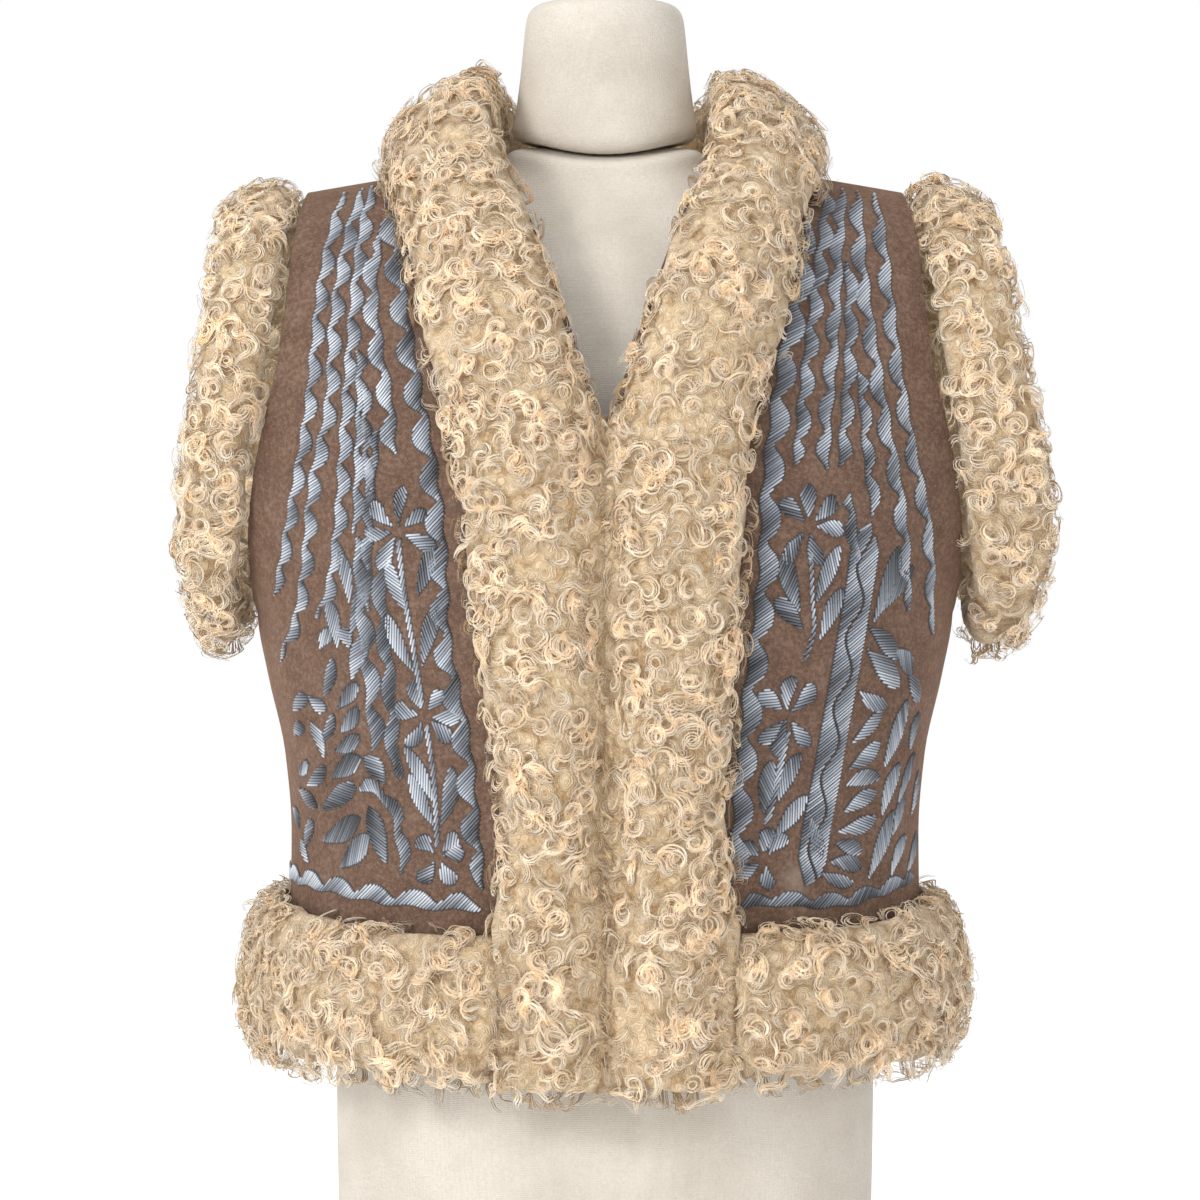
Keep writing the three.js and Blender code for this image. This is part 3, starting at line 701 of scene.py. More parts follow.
class Needle:
    """Collects satin stitches on one half of a face, in its flat layout of s and z. Every tone given to it is
    painted sheen.
    """

    def __init__(self, cloth, side):
        self.cloth, self.side = cloth, side
        self.stitches = []

    def place(self, x, z):
        return (float(self.cloth.s_of(abs(x), z)), z)

    def satin(self, path, left, right, slope, tone):
        """Parallel stitches from one edge of a path to the other.

        left and right give each edge's distance from the path, by the distance and the share along it.
        slope is how far a stitch runs along for each step across."""
        at, line, normal = smooth_path(path)
        length = at[-1]
        where = np.arange(0, length, STITCH_STEP * np.hypot(1, slope))
        where = where + random.uniform(-STITCH_JITTER, STITCH_JITTER, len(where))

        def end(offset, way):
            u = where
            for _ in range(SETTLE_ROUNDS):
                u = np.clip(0.5 * u + 0.5 * (where - way * slope * offset(u, u / length)), 0, length)
            middle = np.stack([np.interp(u, at, line[:, k]) for k in (0, 1)], -1)
            across = np.stack([np.interp(u, at, normal[:, k]) for k in (0, 1)], -1)
            return middle + across * (way * offset(u, u / length))[:, None]

        # painted sheen: the band's tone swings lighter and darker along it, as silk catches the light
        wave = SHEEN_SWING * np.sin(where / 7 + random.uniform(0, 6))
        self.add(end(left, 1), end(right, -1), tone + wave + random.normal(0, 0.08, len(where)))

    def fill(self, outline, angle, tone):
        """Parallel stitches across a closed outline."""
        along = np.array([np.cos(angle), np.sin(angle)])
        across = np.array([-along[1], along[0]])
        a, c = outline @ along, outline @ across
        levels = np.arange(c.min() + 0.4, c.max(), STITCH_STEP)
        c_next, a_next = np.roll(c, -1), np.roll(a, -1)
        starts, ends = [], []
        for level in levels:
            cuts = (c - level) * (c_next - level) < 0
            met = a[cuts] + (a_next - a)[cuts] * (level - c[cuts]) / (c_next - c)[cuts]
            if len(met) > 1:
                starts.append(along * met.min() + across * level)
                ends.append(along * met.max() + across * level)
        if starts:
            # painted sheen: the fill shades from dark to light across its stitches
            fade = random.choice([-0.2, 0.2]) * np.linspace(-1, 1, len(starts))
            tones = tone + fade + random.normal(0, 0.07, len(starts))
            self.add(np.array(starts), np.array(ends), tones)

    def add(self, starts, ends, tones):
        for row in np.column_stack([starts, ends, tones]):
            if np.hypot(*(row[2:4] - row[:2])) > SHORTEST_STITCH:
                self.stitches.append(row)

    def band(self, path, face, width, thin, period, tone, lean=0.85):
        """A band with one plain edge and one edge of rounded bulges, on the outer side if face is 1."""
        start = random.uniform(0, period)
        middle = (width + thin) / 2

        def bulge(u, f):
            ends = np.minimum(1, np.minimum(f, 1 - f) * 12 + 0.2)
            turn = 2 * np.pi * (u + start) / period
            swell = (0.5 - 0.5 * np.cos(turn + 0.35 * np.sin(turn))) ** 0.8
            return ends * (thin + (width - thin) * swell) - middle / 2

        def plain(u, f):
            return middle / 2 + 0.09 * width * np.sin(2 * np.pi * (u + start) / period + 0.6)

        edges = (bulge, plain) if face > 0 else (plain, bulge)
        self.satin([self.place(*p) for p in path], *edges, self.side * lean, tone)

    def bands(self, text):
        """Bands from lines of face, width, thin, period and tone, a bar, and the path's x and z in turn."""
        for line in text.strip().splitlines():
            look, path = (np.array(half.split(), float) for half in line.split("|"))
            self.band(path.reshape(-1, 2), *look)

    def border(self, path, width, thin, period, tone):
        """A band along the hem, with its bulges upward."""
        self.band(path, 1, width, thin, period, tone, lean=-1)

    def twin(self, path, width, period=44.0, tones=(0.72, 0.62)):
        """Two bands side by side, that meet along a waving line."""
        start = random.uniform(0, period)

        def line(u, f):
            return 0.42 * width * np.sin(2 * np.pi * (u + start) / period)

        def outer(u, f):
            return width * np.minimum(1, np.minimum(f, 1 - f) * 9 + 0.35)

        spots = [self.place(*p) for p in path]
        self.satin(spots, outer, lambda u, f: -line(u, f) - TWIN_GAP, self.side, tones[0])
        self.satin(spots, lambda u, f: line(u, f) - TWIN_GAP, outer, self.side, tones[1])

    def leaf(self, base, tip, width, tone, swell=1.4):
        """A leaf or petal, pointed at its base and round near its tip, with slanting stitches."""
        base, tip = np.array(base), np.array(tip)
        along = tip - base
        bend = random.uniform(-2.5, 2.5)
        f = np.linspace(0, 1, OUTLINE_POINTS)[:, None]
        off = np.array([-along[1], along[0]]) / max(np.linalg.norm(along), 1e-6)
        spine = base + along * f + off * bend * 4 * f * (1 - f)
        half = width / 2 * np.sin(np.pi * f**swell) ** 0.7 + 0.25
        outline = np.vstack([spine + off * half, (spine - off * half)[::-1]])
        turn = random.choice([-1, 1]) * random.uniform(0.38, 0.7)
        self.fill(outline, np.arctan2(along[1], along[0]) + turn, tone)

    def leaves(self, text):
        """Leaves from a table with the columns x, z, tip_x, tip_z, width and tone; the tone is painted sheen.
        """
        for x, z, tip_x, tip_z, width, tone in zip(*table(text).values()):
            self.leaf(self.place(x, z), self.place(tip_x, tip_z), width, tone)

    def flower(self, x, z, petals, length, width):
        """petals are degrees anticlockwise from outwards, with up at 90."""
        centre = np.array(self.place(x, z))
        for angle in np.radians(petals):
            reach = length * random.uniform(0.88, 1.12)
            way = np.array([np.cos(angle), np.sin(angle)])
            # each petal's tone is its painted sheen
            tone = random.choice([0.4, 0.52, 0.62, 0.72])
            broad = width * random.uniform(0.9, 1.15)
            self.leaf(centre + way * PETAL_START, centre + way * reach, broad, tone, PETAL_SWELL)

    def stem(self, path, width=2.6, tone=0.6):
        def half(u, f):
            return np.full_like(u, width / 2)

        self.satin([self.place(*p) for p in path], half, half, self.side * 2.6, tone)

    def sew(self):
        """All the stitches as arched strips lying on the suede."""
        rows = np.array(self.stitches)
        a, b, tone = rows[:, :2], rows[:, 2:4], rows[:, 4]
        length = np.linalg.norm(b - a, axis=1)
        end = np.clip(STITCH_END / length, 0.05, 0.3)
        past = STITCH_PAST / length
        share = np.stack([-past, end, 1 - end, 1 + past], -1)[..., None]
        bow = np.stack([a[:, 1] - b[:, 1], b[:, 0] - a[:, 0]], -1)[:, None] * STITCH_BOW * self.side
        line = a[:, None] * (1 - share) + b[:, None] * share + bow * np.sin(np.pi * share)
        points, normals, on = self.cloth.at(line[..., 0], line[..., 1])
        keep = on.all(axis=1) & (np.linalg.norm(normals, axis=-1) > 0.5).all(axis=1)
        points, normals, tone = points[keep], normals[keep], tone[keep]
        tangent = unit(np.gradient(points, axis=1))
        sides = unit(np.cross(normals, tangent)) * (STITCH_WIDTH / 2)
        taper = np.array([0.7, 1.0, 1.0, 0.7])[None, :, None]
        high = np.array([0.2, 1.0, 1.0, 0.2])[None, :, None] * random.uniform(0.75, 1.15, (len(tone), 1, 1))
        return points + normals * 0.1, sides * taper, normals * STITCH_HEIGHT * high, tone


STITCH_PROFILE = [(1, 0.1), (0, 1), (-1, 0.1)]


def sew_all(name, needles):
    parts = [needle.sew() for needle in needles]
    centres, sides, lifts = (np.concatenate([part[k] for part in parts]) for k in range(3))
    tone = np.concatenate([part[3] for part in parts])
    points, faces, index = strips(centres, sides, lifts, STITCH_PROFILE)
    # Painted light on each stitch: a painted highlight near one end, painted shade near the other, and its
    # ends painted black as needle holes and the shadow round each motif
    ends = np.isin(index[1], (0, 3))
    lit = np.where(index[1] == 1, 0.17, -0.12)
    shade = np.where(ends, 0.0, np.clip(tone[index[0]] + lit, 0.12, 1.0))
    uv = cells(index, len(tone), 4, len(STITCH_PROFILE))
    piece = mesh_object(name, points, faces, uv, tone=shade, across=index[2] / 2)
    return finish_piece(piece, silk, "suede")


silk = silk_material()


# What is sewn on each front. Places are the distance from the middle plane and the height. A border, twin or
# stem is a path and its looks, and a flower is its place, the angles of its petals, their length and width.
# Every tone here is painted sheen: the silk is one colour, given lighter or darker motif by motif as its
# stitches catch the light.
RIGHT_FRONT = {
    "bands": """
-1 9.5 2.6 23 0.68 | 165 710  174 668  178 640  181 600  185 560  192 520  200 478  207 448
-1 10 2.6 23 0.68 | 152 713  163 668  169 618  171 568  181 520  186 474  192 440  204 408
-1 9.5 3 23 0.68 | 145 715  154 662  158 600  161 548  164 500  169 462  178 436
1 10.5 3.5 26 0.68 | 143 678  145 640  140 600  134 572  131 536
-1 8 2.6 23 0.68 | 152 604  151 568  152 530  153 490
-1 7 2.5 22 0.5 | 148 582  147 540  144 508
1 8 3 24 0.44 | 141 554  144 520  146 476  148 440
-1 12 4 30 0.52 | 151 488  150 440  146 404  143 370  141 354
-1 9 4 24 0.46 | 153 334  140 330  130 318  126 300  123 280
1 10 5 30 0.34 | 140 470  136 430  132 390  130 350  127 336
1 12 3 27 0.5 | 139 712  131 662  124 618  115 570  106 524  101 480  99 430  93 394  86 360  82 322 \
    79 290  77 264
""",
    "border": ([(74, 262), (100, 262), (130, 264), (158, 267), (186, 271), (204, 274)], 11, 4, 30, 0.72),
    "twins": [],
    "flowers": [
        (127, 491, (146, 98, 48, 0, 205, 300), 25, 8.5),
        (111, 377, (128, 75, 180, 20, 225, 305), 22, 9.5),
        (103, 291, (128, 172, 35, 236, 310), 19, 9.5),
    ],
    "stems": [
        ([(127, 486), (123, 450), (117, 415), (112, 382)], 3.2, 0.7),
        ([(110, 372), (106, 345), (104, 318), (103, 296)], 3.2, 0.6),
    ],
    "leaves": """
x z tip_x tip_z width tone
121 440 134 474 9 0.76
116 450 106 482 10 0.36
117 404 134 440 9 0.76
112 408 103 446 10 0.42
104 322 123 358 9 0.74
104 308 120 342 9 0.76
101 310 94 346 10 0.42
158 446 165 480 9 0.56
166 418 173 450 10 0.62
158 425 150 461 9 0.38
178 418 168 430 9 0.66
168 430 157 420 9 0.68
157 398 147 427 12 0.66
176 387 169 412 9 0.42
166 381 153 397 10 0.5
165 366 153 382 10 0.48
169 354 152 364 10 0.38
178 359 169 377 8 0.4
171 337 151 350 13 0.34
136 333 149 352 12 0.42
178 316 155 333 13 0.34
178 297 152 313 14 0.32
166 281 146 303 14 0.48
135 284 146 321 13 0.38
197 378 186 388 9 0.52
186 388 174 380 9 0.72
197 362 189 368 9 0.46
176 348 185 372 8 0.8
188 331 175 344 9 0.4
194 338 187 347 8 0.5
194 329 181 318 9 0.38
190 291 184 310 10 0.38
187 283 193 297 8 0.75
199 316 194 304 8 0.45
""",
}
LEFT_FRONT = {
    "bands": """
1 9.5 3.5 24 0.6 | 139 714  137 676  132 646  127 612  122 574  118 530
-1 9 4 26 0.62 | 148 714  146 670  143 630  140 596  136 560  134 526
1 9 3.5 26 0.58 | 153 662  152 626  151 600  148 562  146 530
-1 10 3.5 28 0.68 | 158 712  160 666  163 630  167 600  173 560  181 520  186 484  188 440
-1 9.5 3 28 0.68 | 170 708  175 668  178 628  183 584  191 540  200 500  204 462  206 424
1 8 3 24 0.6 | 158 590  160 562  162 534  167 500
-1 8 3 24 0.5 | 149 514  153 486  155 470
1 13 5 30 0.56 | 131 690  121 640  112 602  105 558  100 514  98 468  94 430  90 400  87 370  84 340 \
    82 310  80 284  79 264
""",
    "border": ([(80, 262), (104, 264), (128, 262), (152, 262), (174, 267), (196, 274)], 9, 4, 28, 0.44),
    "twins": [
        ([(162, 496), (157, 456), (151, 420), (144, 380), (137, 340), (130, 304), (126, 272)], 10),
    ],
    "flowers": [
        (125, 494, (140, 92, 48, 350, 238, 290), 26, 9),
        (112, 378, (146, 82, 46, 222, 255, 308), 24, 9.5),
        (98, 289, (145, 80, 45, 205, 280), 20, 9.5),
    ],
    "stems": [
        ([(126, 478), (127, 450), (128, 430), (122, 410)],),
        ([(112, 368), (106, 340), (99, 310)], 4, 0.66),
    ],
    "leaves": """
x z tip_x tip_z width tone
120 440 110 480 11 0.42
121 430 104 450 11 0.42
129 446 144 482 10 0.60
132 424 146 456 10 0.66
97 316 102 350 11 0.42
106 324 120 354 10 0.50
103 302 124 328 10 0.72
166 434 182 482 12 0.42
170 440 192 470 10 0.36
163 432 182 412 12 0.42
180 418 192 402 12 0.48
190 404 198 384 11 0.44
162 418 184 394 14 0.62
157 392 176 382 10 0.62
153 360 173 380 9 0.66
151 344 172 360 11 0.66
148 333 172 338 10 0.66
147 316 170 328 10 0.68
144 305 170 312 10 0.66
142 298 160 292 10 0.56
138 286 160 282 10 0.48
132 280 154 272 8 0.5
126 316 134 288 9 0.4
174 342 190 386 11 0.62
173 312 185 346 10 0.64
184 320 196 352 9 0.42
180 300 188 326 9 0.56
164 274 181 316 11 0.64
179 274 190 300 9 0.66
191 276 199 300 9 0.46
192 352 199 378 9 0.45
194 312 200 340 9 0.52
""",
}


def stitch_front(side, design):
    needle = Needle(Cloth("front", side), side)
    needle.bands(design["bands"])
    needle.border(*design["border"])
    for sew, rows in ((needle.twin, "twins"), (needle.flower, "flowers"), (needle.stem, "stems")):
        for row in design[rows]:
            sew(*row)
    needle.leaves(design["leaves"])
    return needle


def stitch_back_half(side):
    """One half of the back, in the same style as the fronts."""
    needle = Needle(Cloth("back", side), side)
    # the last number of each line, like every tone below, is painted sheen
    lines = ((0, 11, 0.68), (15, 12, 0.64), (30, 11, 0.58), (44, 10, 0.62))
    for number, (shift, width, tone) in enumerate(lines):
        foot = 400 + 32 * number
        run = ((172, 694), (178, 620), (184, 560), (192, 490), (200, foot))
        path = [(x - shift, z) for x, z in run]
        needle.band(path, (-1) ** number, width, 3, 27, tone)
    needle.twin([(124, 620), (122, 560), (126, 500), (130, 430), (126, 360), (118, 276)], 9, 44, (0.44, 0.66))
    needle.band([(2, 690), (3, 600), (2, 500), (3, 400), (2, 330), (3, 276)], 1, 11, 4, 30, 0.5)
    needle.border([(2, 262), (60, 262), (110, 262), (160, 264), (206, 268)], 11, 4, 30, 0.7)
    needle.stem([(62, 640), (58, 590), (64, 540), (58, 480), (64, 420), (58, 360), (62, 300)], 3.2, 0.6)
    for z in (624, 516, 404, 300):
        needle.flower(61, z, (90, 40, 140, 200, 240, 300, 345), 22, 11)
    for z in (658, 562, 454, 348):
        for x, tip_x, tone in ((56, 34, 0.66), (68, 90, 0.44)):
            needle.leaf(needle.place(x, z - 16), needle.place(tip_x, z + 14), 10, tone)
            needle.leaf(needle.place(x, z - 34), needle.place(tip_x, z - 10), 9, tone)
    for z in range(290, 620, 36):
        needle.leaf(needle.place(94, z), needle.place(108, z + 28), 9, 0.5)
        needle.leaf(needle.place(12, z), needle.place(30, z + 26), 9, 0.62)
    for z in range(282, 400, 30):
        needle.leaf(needle.place(146, z), needle.place(170, z + 14), 10, 0.56)
        needle.leaf(needle.place(194, z - 4), needle.place(178, z + 22), 10, 0.44)
        needle.leaf(needle.place(200, z + 4), needle.place(204, z + 28), 8, 0.6)
    return needle


sew_all("embroidery_right", [stitch_front(-1, RIGHT_FRONT)])
sew_all("embroidery_left", [stitch_front(1, LEFT_FRONT)])
sew_all("embroidery_back", [stitch_back_half(-1), stitch_back_half(1)])


# --- frame meshes as arrays ----------------------------------------------------------------------
FACET_ANGLE = 0.9  # radians; triangles flatter to each other than this are joined before rounding


def rounded(node, levels):
    """A copy of a frame node's mesh with its facets rounded off."""
    made = bmesh.new()
    made.from_mesh(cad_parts[node].data)
    bmesh.ops.remove_doubles(made, verts=made.verts, dist=0.02 * MM)
    limits = {"angle_face_threshold": FACET_ANGLE, "angle_shape_threshold": FACET_ANGLE}
    bmesh.ops.join_triangles(made, faces=made.faces, cmp_seam=False, **limits)
    mesh = bpy.data.meshes.new("rounded")
    made.to_mesh(mesh)
    made.free()
    piece = place_object("rounded", mesh)
    modifier = piece.modifiers.new("round", "SUBSURF")
    modifier.levels = modifier.render_levels = levels
    graph = bpy.context.evaluated_depsgraph_get()
    smooth = bpy.data.meshes.new_from_object(piece.evaluated_get(graph))
    bpy.data.objects.remove(piece)
    smooth.shade_smooth()
    return smooth


def arrays(mesh):
    """A mesh's points and normals in millimetres, and its triangles."""
    points = np.empty(len(mesh.vertices) * 3)
    mesh.vertices.foreach_get("co", points)
    normals = np.empty(len(mesh.vertices) * 3)
    mesh.vertices.foreach_get("normal", normals)
    mesh.calc_loop_triangles()
    triangles = np.empty(len(mesh.loop_triangles) * 3, int)
    mesh.loop_triangles.foreach_get("vertices", triangles)
    return points.reshape(-1, 3) / MM, normals.reshape(-1, 3), triangles.reshape(-1, 3)


# --- fur -----------------------------------------------------------------------------------------
STATIONS = 12
SKIN_DEPTH = 3.4  # the pile's skin lies this far inside the trim's reach
LUMP, LUMP_HEIGHT = 24.0, 3.2
OVER_SEAM = 2.0  # how much higher curls stand where two trims meet
LOCKS_PER_CM2 = 1.25
HAIRS = 5  # strips in each lock
HIDDEN_SHARE = 0.35  # of the locks grow where the fur is turned inwards
OPEN_SHARE = 0.68  # of the locks are open curls and the rest rings, before some of both are made waves
WAVY_SHARE, WAVY_HANGING, WAVY_HEM = 0.12, 0.33, 0.3  # the chance of a wave: anywhere, low down, under the hem
STRAY_SHARE = 0.12
HAIR_HALF = (0.32, 0.52)  # half of a strip's width
TIP_DROOP = 1.5
# kind 0 is a ring, 1 an open curl and 2 a wave
LOCKS = table(
    """
    kind length_low length_high turns_low turns_high tighten sway cycles spread
    0 26 38 0.85 1.20 1.25 0.15 1.0 2.1
    1 20 30 0.45 0.80 1.35 0.3 1.0 2.5
    2 20 32 0.20 0.60 2.20 0.9 1.2 2.3
    """
)


def lumpiness(points, size, seed):
    """Smooth noise from -1 to 1 at each point."""
    shift = Vector((seed * 7.3, seed * 3.1, seed * 5.7))
    return np.array([noise.noise(Vector(p) / size + shift) for p in points])


def tree_of(node):
    points, _, triangles = arrays(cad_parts[node].data)
    return BVHTree.FromPolygons(points.tolist(), triangles.tolist())


CLOTH = ("front_left", "front_right", "back", "form_torso", "form_neck")
TREES = {node: tree_of(node) for node in CLOTH}
CLEAR_OF_CLOTH, OPEN_VIEW = 1.8, 5.5
FAR = 12.0  # gaps are measured up to this
VALLEY_PUSH, VALLEY_NEAR, VALLEY_FAR = 1.6, 6.0, 11.0


def gap_to(trees, points):
    """How far each point is from the nearest of some pieces."""
    found = [[tree.find_nearest(Vector(point), FAR)[3] or FAR for tree in trees] for point in points]
    return np.array(found).min(axis=1)


def valley_fill(trees, points):
    """How far fur is pushed out to meet its neighbour, and how much of that push each point takes."""
    gap = gap_to(trees, points)
    return 0.5 * gap + VALLEY_PUSH, 1 - smoothstep(gap, VALLEY_NEAR, VALLEY_FAR)


def in_the_open(place, normal):
    """True where fur can stand: off the cloth, and not turned towards it."""
    place, normal = Vector(place), Vector(normal)
    if any(TREES[name].find_nearest(place, CLEAR_OF_CLOTH)[0] is not None for name in CLOTH):
        return False
    return all(TREES[name].ray_cast(place, normal, OPEN_VIEW)[0] is None for name in CLOTH)


def scatter(points, normals, triangles, per_cm2):
    """Random places over a trim where fur can stand, with its smooth normals."""
    corner = points[triangles]
    area = np.linalg.norm(np.cross(corner[:, 1] - corner[:, 0], corner[:, 2] - corner[:, 0]), axis=1) / 2
    count = int(area.sum() / 100 * per_cm2)
    chosen = random.choice(len(triangles), count, p=area / area.sum())
    share = np.sort(random.random((count, 2)), axis=1)
    weights = np.stack([share[:, 0], share[:, 1] - share[:, 0], 1 - share[:, 1]], -1)[..., None]
    place = (corner[chosen] * weights).sum(1)
    normal = unit((normals[triangles[chosen]] * weights).sum(1))
    outward = (normal * unit(place * (1, 1, 0))).sum(1)
    shown = np.maximum(smoothstep(outward, -0.6, 0.0), smoothstep(place[:, 2], 640, 690))
    keep = random.random(count) < HIDDEN_SHARE + (1 - HIDDEN_SHARE) * shown
    keep &= np.array([in_the_open(p, n) for p, n in zip(place, normal)])
    return place[keep], normal[keep]


def curl_locks(place, normal, seed):
    """Curled locks: narrow strips of hair, side by side, that rise from the skin and coil near its reach.

    Returns the strips' centres, half-widths, shading normals and tones."""
    count = len(place)
    helper = np.where(abs(normal[:, 2:]) < 0.9, [[0.0, 0.0, 1.0]], [[0.0, 1.0, 0.0]])
    east = unit(np.cross(helper, normal))
    north = np.cross(normal, east)

    hanging = 1 - smoothstep(place[:, 2], 200, 520)
    hem = smoothstep(-normal[:, 2], 0.2, 0.9)
    near_cloth = 1 - smoothstep(gap_to(TREES.values(), place), 3.0, 11.0)
    rim = near_cloth * (2.6 + 3.0 * lumpiness(place, 13, seed + 4))
    kind = (random.random(count) < OPEN_SHARE).astype(int)
    kind[random.random(count) < WAVY_SHARE + WAVY_HANGING * hanging + WAVY_HEM * hem] = 2
    row = {name: LOCKS[name][kind] for name in LOCKS}
    lock = {
        "length": random.uniform(row["length_low"], row["length_high"]),
        "turns": random.uniform(row["turns_low"], row["turns_high"]) * random.choice([-1.0, 1.0], count),
        "heading": np.where(
            kind == 2, random.normal(-np.pi / 2, 0.7, count), random.uniform(0, 6.3, count)
        ),
        "phase": random.uniform(0, 6.3, count),
        "top": random.uniform(-2.0, 1.8, count)
        + lumpiness(place, LUMP, seed) * LUMP_HEIGHT
        + hem * 4.0
        + rim,
        "slope_x": random.normal(0, 0.15, count),
        "slope_y": random.normal(0, 0.15, count) - 0.45 * hem * (kind == 2),
        "tone": 0.5 + 0.35 * lumpiness(place, 40, seed + 9) + random.normal(0, 0.22, count),
        **{name: row[name] for name in ("spread", "tighten", "sway", "cycles")},
    }
    each = {name: np.repeat(values, HAIRS)[:, None] for name, values in lock.items()}
    total = count * HAIRS
    apart = np.tile(np.linspace(-1, 1, HAIRS), count)[:, None] + random.normal(0, 0.16, (total, 1))
    t = np.linspace(0, 1, STATIONS)[None]
    turns = each["turns"] * (1 + random.normal(0, 0.06, (total, 1)))
    angle = each["heading"] + random.normal(0, 0.12, (total, 1))
    angle = angle + 2 * np.pi * turns * t ** each["tighten"]
    angle = angle + each["sway"] * np.sin(2 * np.pi * each["cycles"] * t + each["phase"])
    step = each["length"] * random.uniform(0.92, 1.1, (total, 1)) / (STATIONS - 1)
    x, y = (np.cumsum(wave(angle), axis=1) * step for wave in (np.cos, np.sin))
    aside = apart * each["spread"] * np.minimum(1, 0.35 + 1.6 * t) * np.minimum(1, 0.3 + 1.6 * (1 - t))
    x = x - x.mean(axis=1, keepdims=True) - aside * np.sin(angle)
    y = y - y.mean(axis=1, keepdims=True) + aside * np.cos(angle)
    height = -SKIN_DEPTH - 1 + (each["top"] + SKIN_DEPTH + 1) * smoothstep(t, -0.08, 0.25)
    height = height + each["slope_x"] * x + each["slope_y"] * y + 0.8 * np.sin(np.pi * t) - 0.5 * apart**2
    stray = random.random((total, 1)) < STRAY_SHARE
    height = height - 1.8 * smoothstep(t, 0.8, 1.0) + random.normal(0, 0.35, (total, 1))
    height = height + stray * random.uniform(0.8, 3.2, (total, 1)) * smoothstep(t, 0.1, 0.5)

    def spread(vectors):
        return np.repeat(vectors, HAIRS, axis=0)[:, None, :]

    u, v, n = spread(east), spread(north), spread(normal)
    centres = spread(place) + u * x[..., None] + v * y[..., None] + n * height[..., None]
    centres[..., 2] -= TIP_DROOP * t**2
    across = -u * np.sin(angle)[..., None] + v * np.cos(angle)[..., None]
    roll = random.normal(0, 0.3, (total, 1, 1)) + 0.25 * apart[..., None]
    side = across * np.cos(roll) + n * np.sin(roll)
    taper = np.minimum(1, 0.5 + 2.2 * t) * np.minimum(1, 0.3 + 2.0 * (1 - t))
    half = (random.uniform(*HAIR_HALF, (total, 1)) * (1 - 0.45 * stray) * taper)[..., None]
    shading = unit(n * 1.3 + across * apart[..., None] * 0.45)
    tones = np.clip(each["tone"] + random.normal(0, 0.16, (total, 1)), 0, 1)[:, 0]
    return centres, side * half, shading, tones


WOOL_PROFILE = [(1, 0), (-1, 0)]
ARCH_OF_LOCK = 0.55  # how far a strip's shading turns towards its edges


def fleece(node, seed, pale, others, wool, skin_material):
    """A trim: its skin, and the curls over it."""
    smooth = rounded(node, 1)
    points, normals, triangles = arrays(smooth)
    bumps = lumpiness(points, 9, seed) * 1.2 + lumpiness(points, LUMP, seed) * LUMP_HEIGHT
    push, near = valley_fill(others, points)
    inside = points + normals * (push * near + (bumps - SKIN_DEPTH) * (1 - near))[:, None]
    smooth.vertices.foreach_set("co", (inside * MM).ravel())
    smooth.update()
    skin = finish_piece(place_object(node + "_fleece", smooth), skin_material, "wool", node)

    place, normal = scatter(points, normals, triangles, LOCKS_PER_CM2)
    push, near = valley_fill(others, place)
    place += normal * ((push + OVER_SEAM) * near)[:, None]
    centres, sides, shading, tone = curl_locks(place, normal, seed)
    # painted light: paler locks where the trim falls in shade
    tone = np.clip(tone + pale, 0, 1)
    curls, faces, index = strips(centres, sides, np.zeros_like(centres), WOOL_PROFILE)
    uv = cells(index, len(tone), STATIONS, 2)
    edge = np.array([1, -1])[None, None, :, None] * unit(sides)[:, :, None] * ARCH_OF_LOCK
    rounded_normals = unit(shading[:, :, None] + edge).reshape(-1, 3)
    values = {"along": index[1] / (STATIONS - 1), "tone": tone[index[0]], "across": index[2] * 1.0}
    piece = mesh_object(node + "_curls", curls, faces, uv, rounded_normals, **values)
    finish_piece(piece, wool, "wool")


# How much paler than the rest each trim's locks are painted: painted light on the cuffs, which face the sides
# and fall in shade.
TRIMS = {"band_left": 0.0, "band_right": 0.0, "hem_band": 0.0, "cuff_left": 0.3, "cuff_right": 0.3}
trim_trees = {trim: tree_of(trim) for trim in TRIMS}
wool, skin_wool = wool_material(), fleece_material()
for number, (trim, pale) in enumerate(TRIMS.items(), start=1):
    other_trees = [trim_trees[name] for name in TRIMS if name != trim]
    fleece(trim, number, pale, other_trees, wool, skin_wool)


# --- dress form ----------------------------------------------------------------------------------
canvas = canvas_material()
for node in ("form_torso", "form_neck"):
    finish_piece(place_object(node + "_cover", rounded(node, 2)), canvas, "linen", node)


# --- stage, light and camera ---------------------------------------------------------------------
def floor():
    size = 9000
    points = [(-size, -size, 0), (size, -size, 0), (size, size, 0), (-size, size, 0)]
    piece = mesh_object("floor", points, [[0, 1, 2, 3]])
    glow = {"Emission_Color": "ffffff", "Emission_Strength": 0.5}
    made = Shader("floor_pale", 0.95, Specular_IOR_Level=0.0, **glow)
    soft = made.noise(900, 2)
    colour = made.mix(soft, (0.86, 0.86, 0.855, 1), (0.9, 0.9, 0.9, 1))
    piece.data.materials.append(made.finish(colour))


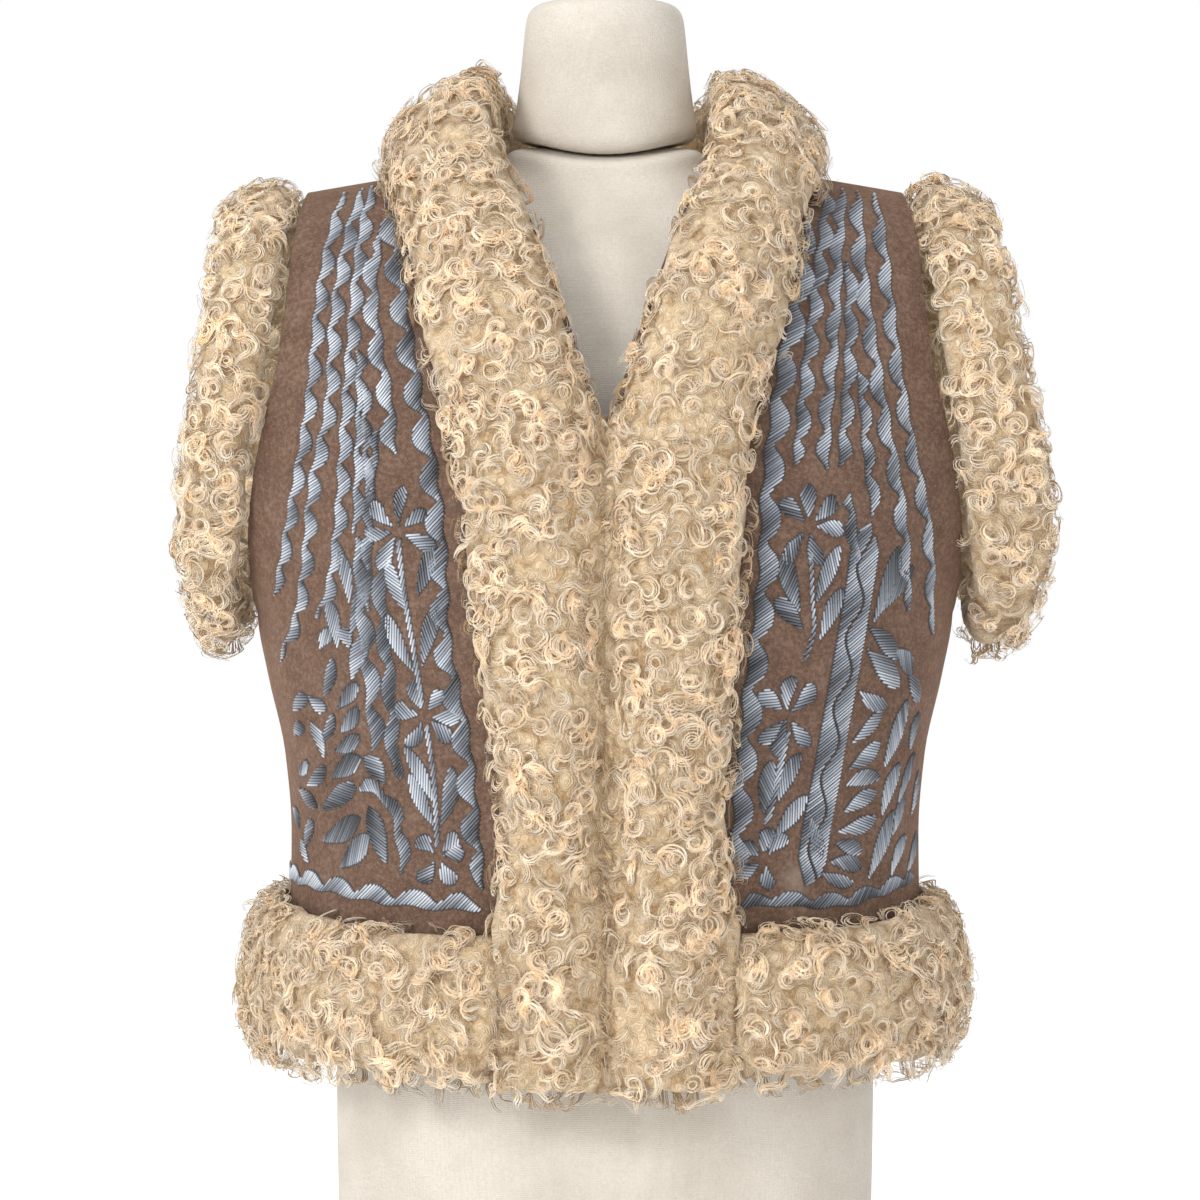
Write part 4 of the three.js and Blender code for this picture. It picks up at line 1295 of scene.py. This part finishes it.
LIT_MIDDLE = Vector((0, 0, 0.45))  # metres; every lamp points at it


def area_light(name, place, size, power, colour=(1, 1, 1)):
    data = bpy.data.lights.new(name, "AREA")
    data.shape, data.size, data.energy, data.color = "DISK", size, power, colour
    lamp = place_object(name, data)
    lamp.location = place
    lamp.rotation_euler = (LIT_MIDDLE - Vector(place)).to_track_quat("-Z", "Y").to_euler()


def studio_world():
    """White round the horizon, softer above and below."""
    world = bpy.data.worlds.new("studio")
    world.use_nodes = True
    tree = world.node_tree
    place = tree.nodes.new("ShaderNodeTexCoord")
    split = tree.nodes.new("ShaderNodeSeparateXYZ")
    tree.links.new(place.outputs["Generated"], split.inputs[0])
    height = tree.nodes.new("ShaderNodeMath")
    height.operation = "ABSOLUTE"
    tree.links.new(split.outputs["Z"], height.inputs[0])
    glow = tree.nodes.new("ShaderNodeMapRange")
    for key, value in {"From Min": 0.17, "From Max": 0.4, "To Min": 1.0, "To Max": 0.55}.items():
        glow.inputs[key].default_value = value
    tree.links.new(height.outputs[0], glow.inputs["Value"])
    tree.links.new(glow.outputs["Result"], tree.nodes["Background"].inputs["Strength"])
    tree.nodes["Background"].inputs["Color"].default_value = (1, 1, 1, 1)
    bpy.context.scene.world = world


floor()
area_light("key", (-1.9, -2.3, 1.5), 0.9, 47, (1, 0.99, 0.975))
area_light("fill", (2.0, -2.4, 1.2), 1.2, 4, (1, 0.96, 0.92))
area_light("top", (0.0, -0.6, 2.6), 1.4, 16)
studio_world()
bpy.context.scene.view_settings.view_transform = "Standard"

CAMERA_DISTANCE, CAMERA_HEIGHT, CAMERA_ASIDE, VIEW_WIDTH, SENSOR = 2400, 448.5, -3.25, 780, 36
camera_data = bpy.data.cameras.new("camera")
camera_data.sensor_width = SENSOR
camera_data.lens = SENSOR * CAMERA_DISTANCE / VIEW_WIDTH
camera = place_object("camera", camera_data)
camera.location = (CAMERA_ASIDE * MM, -CAMERA_DISTANCE * MM, CAMERA_HEIGHT * MM)
camera.rotation_euler = (np.pi / 2, 0, 0)
bpy.context.scene.camera = camera
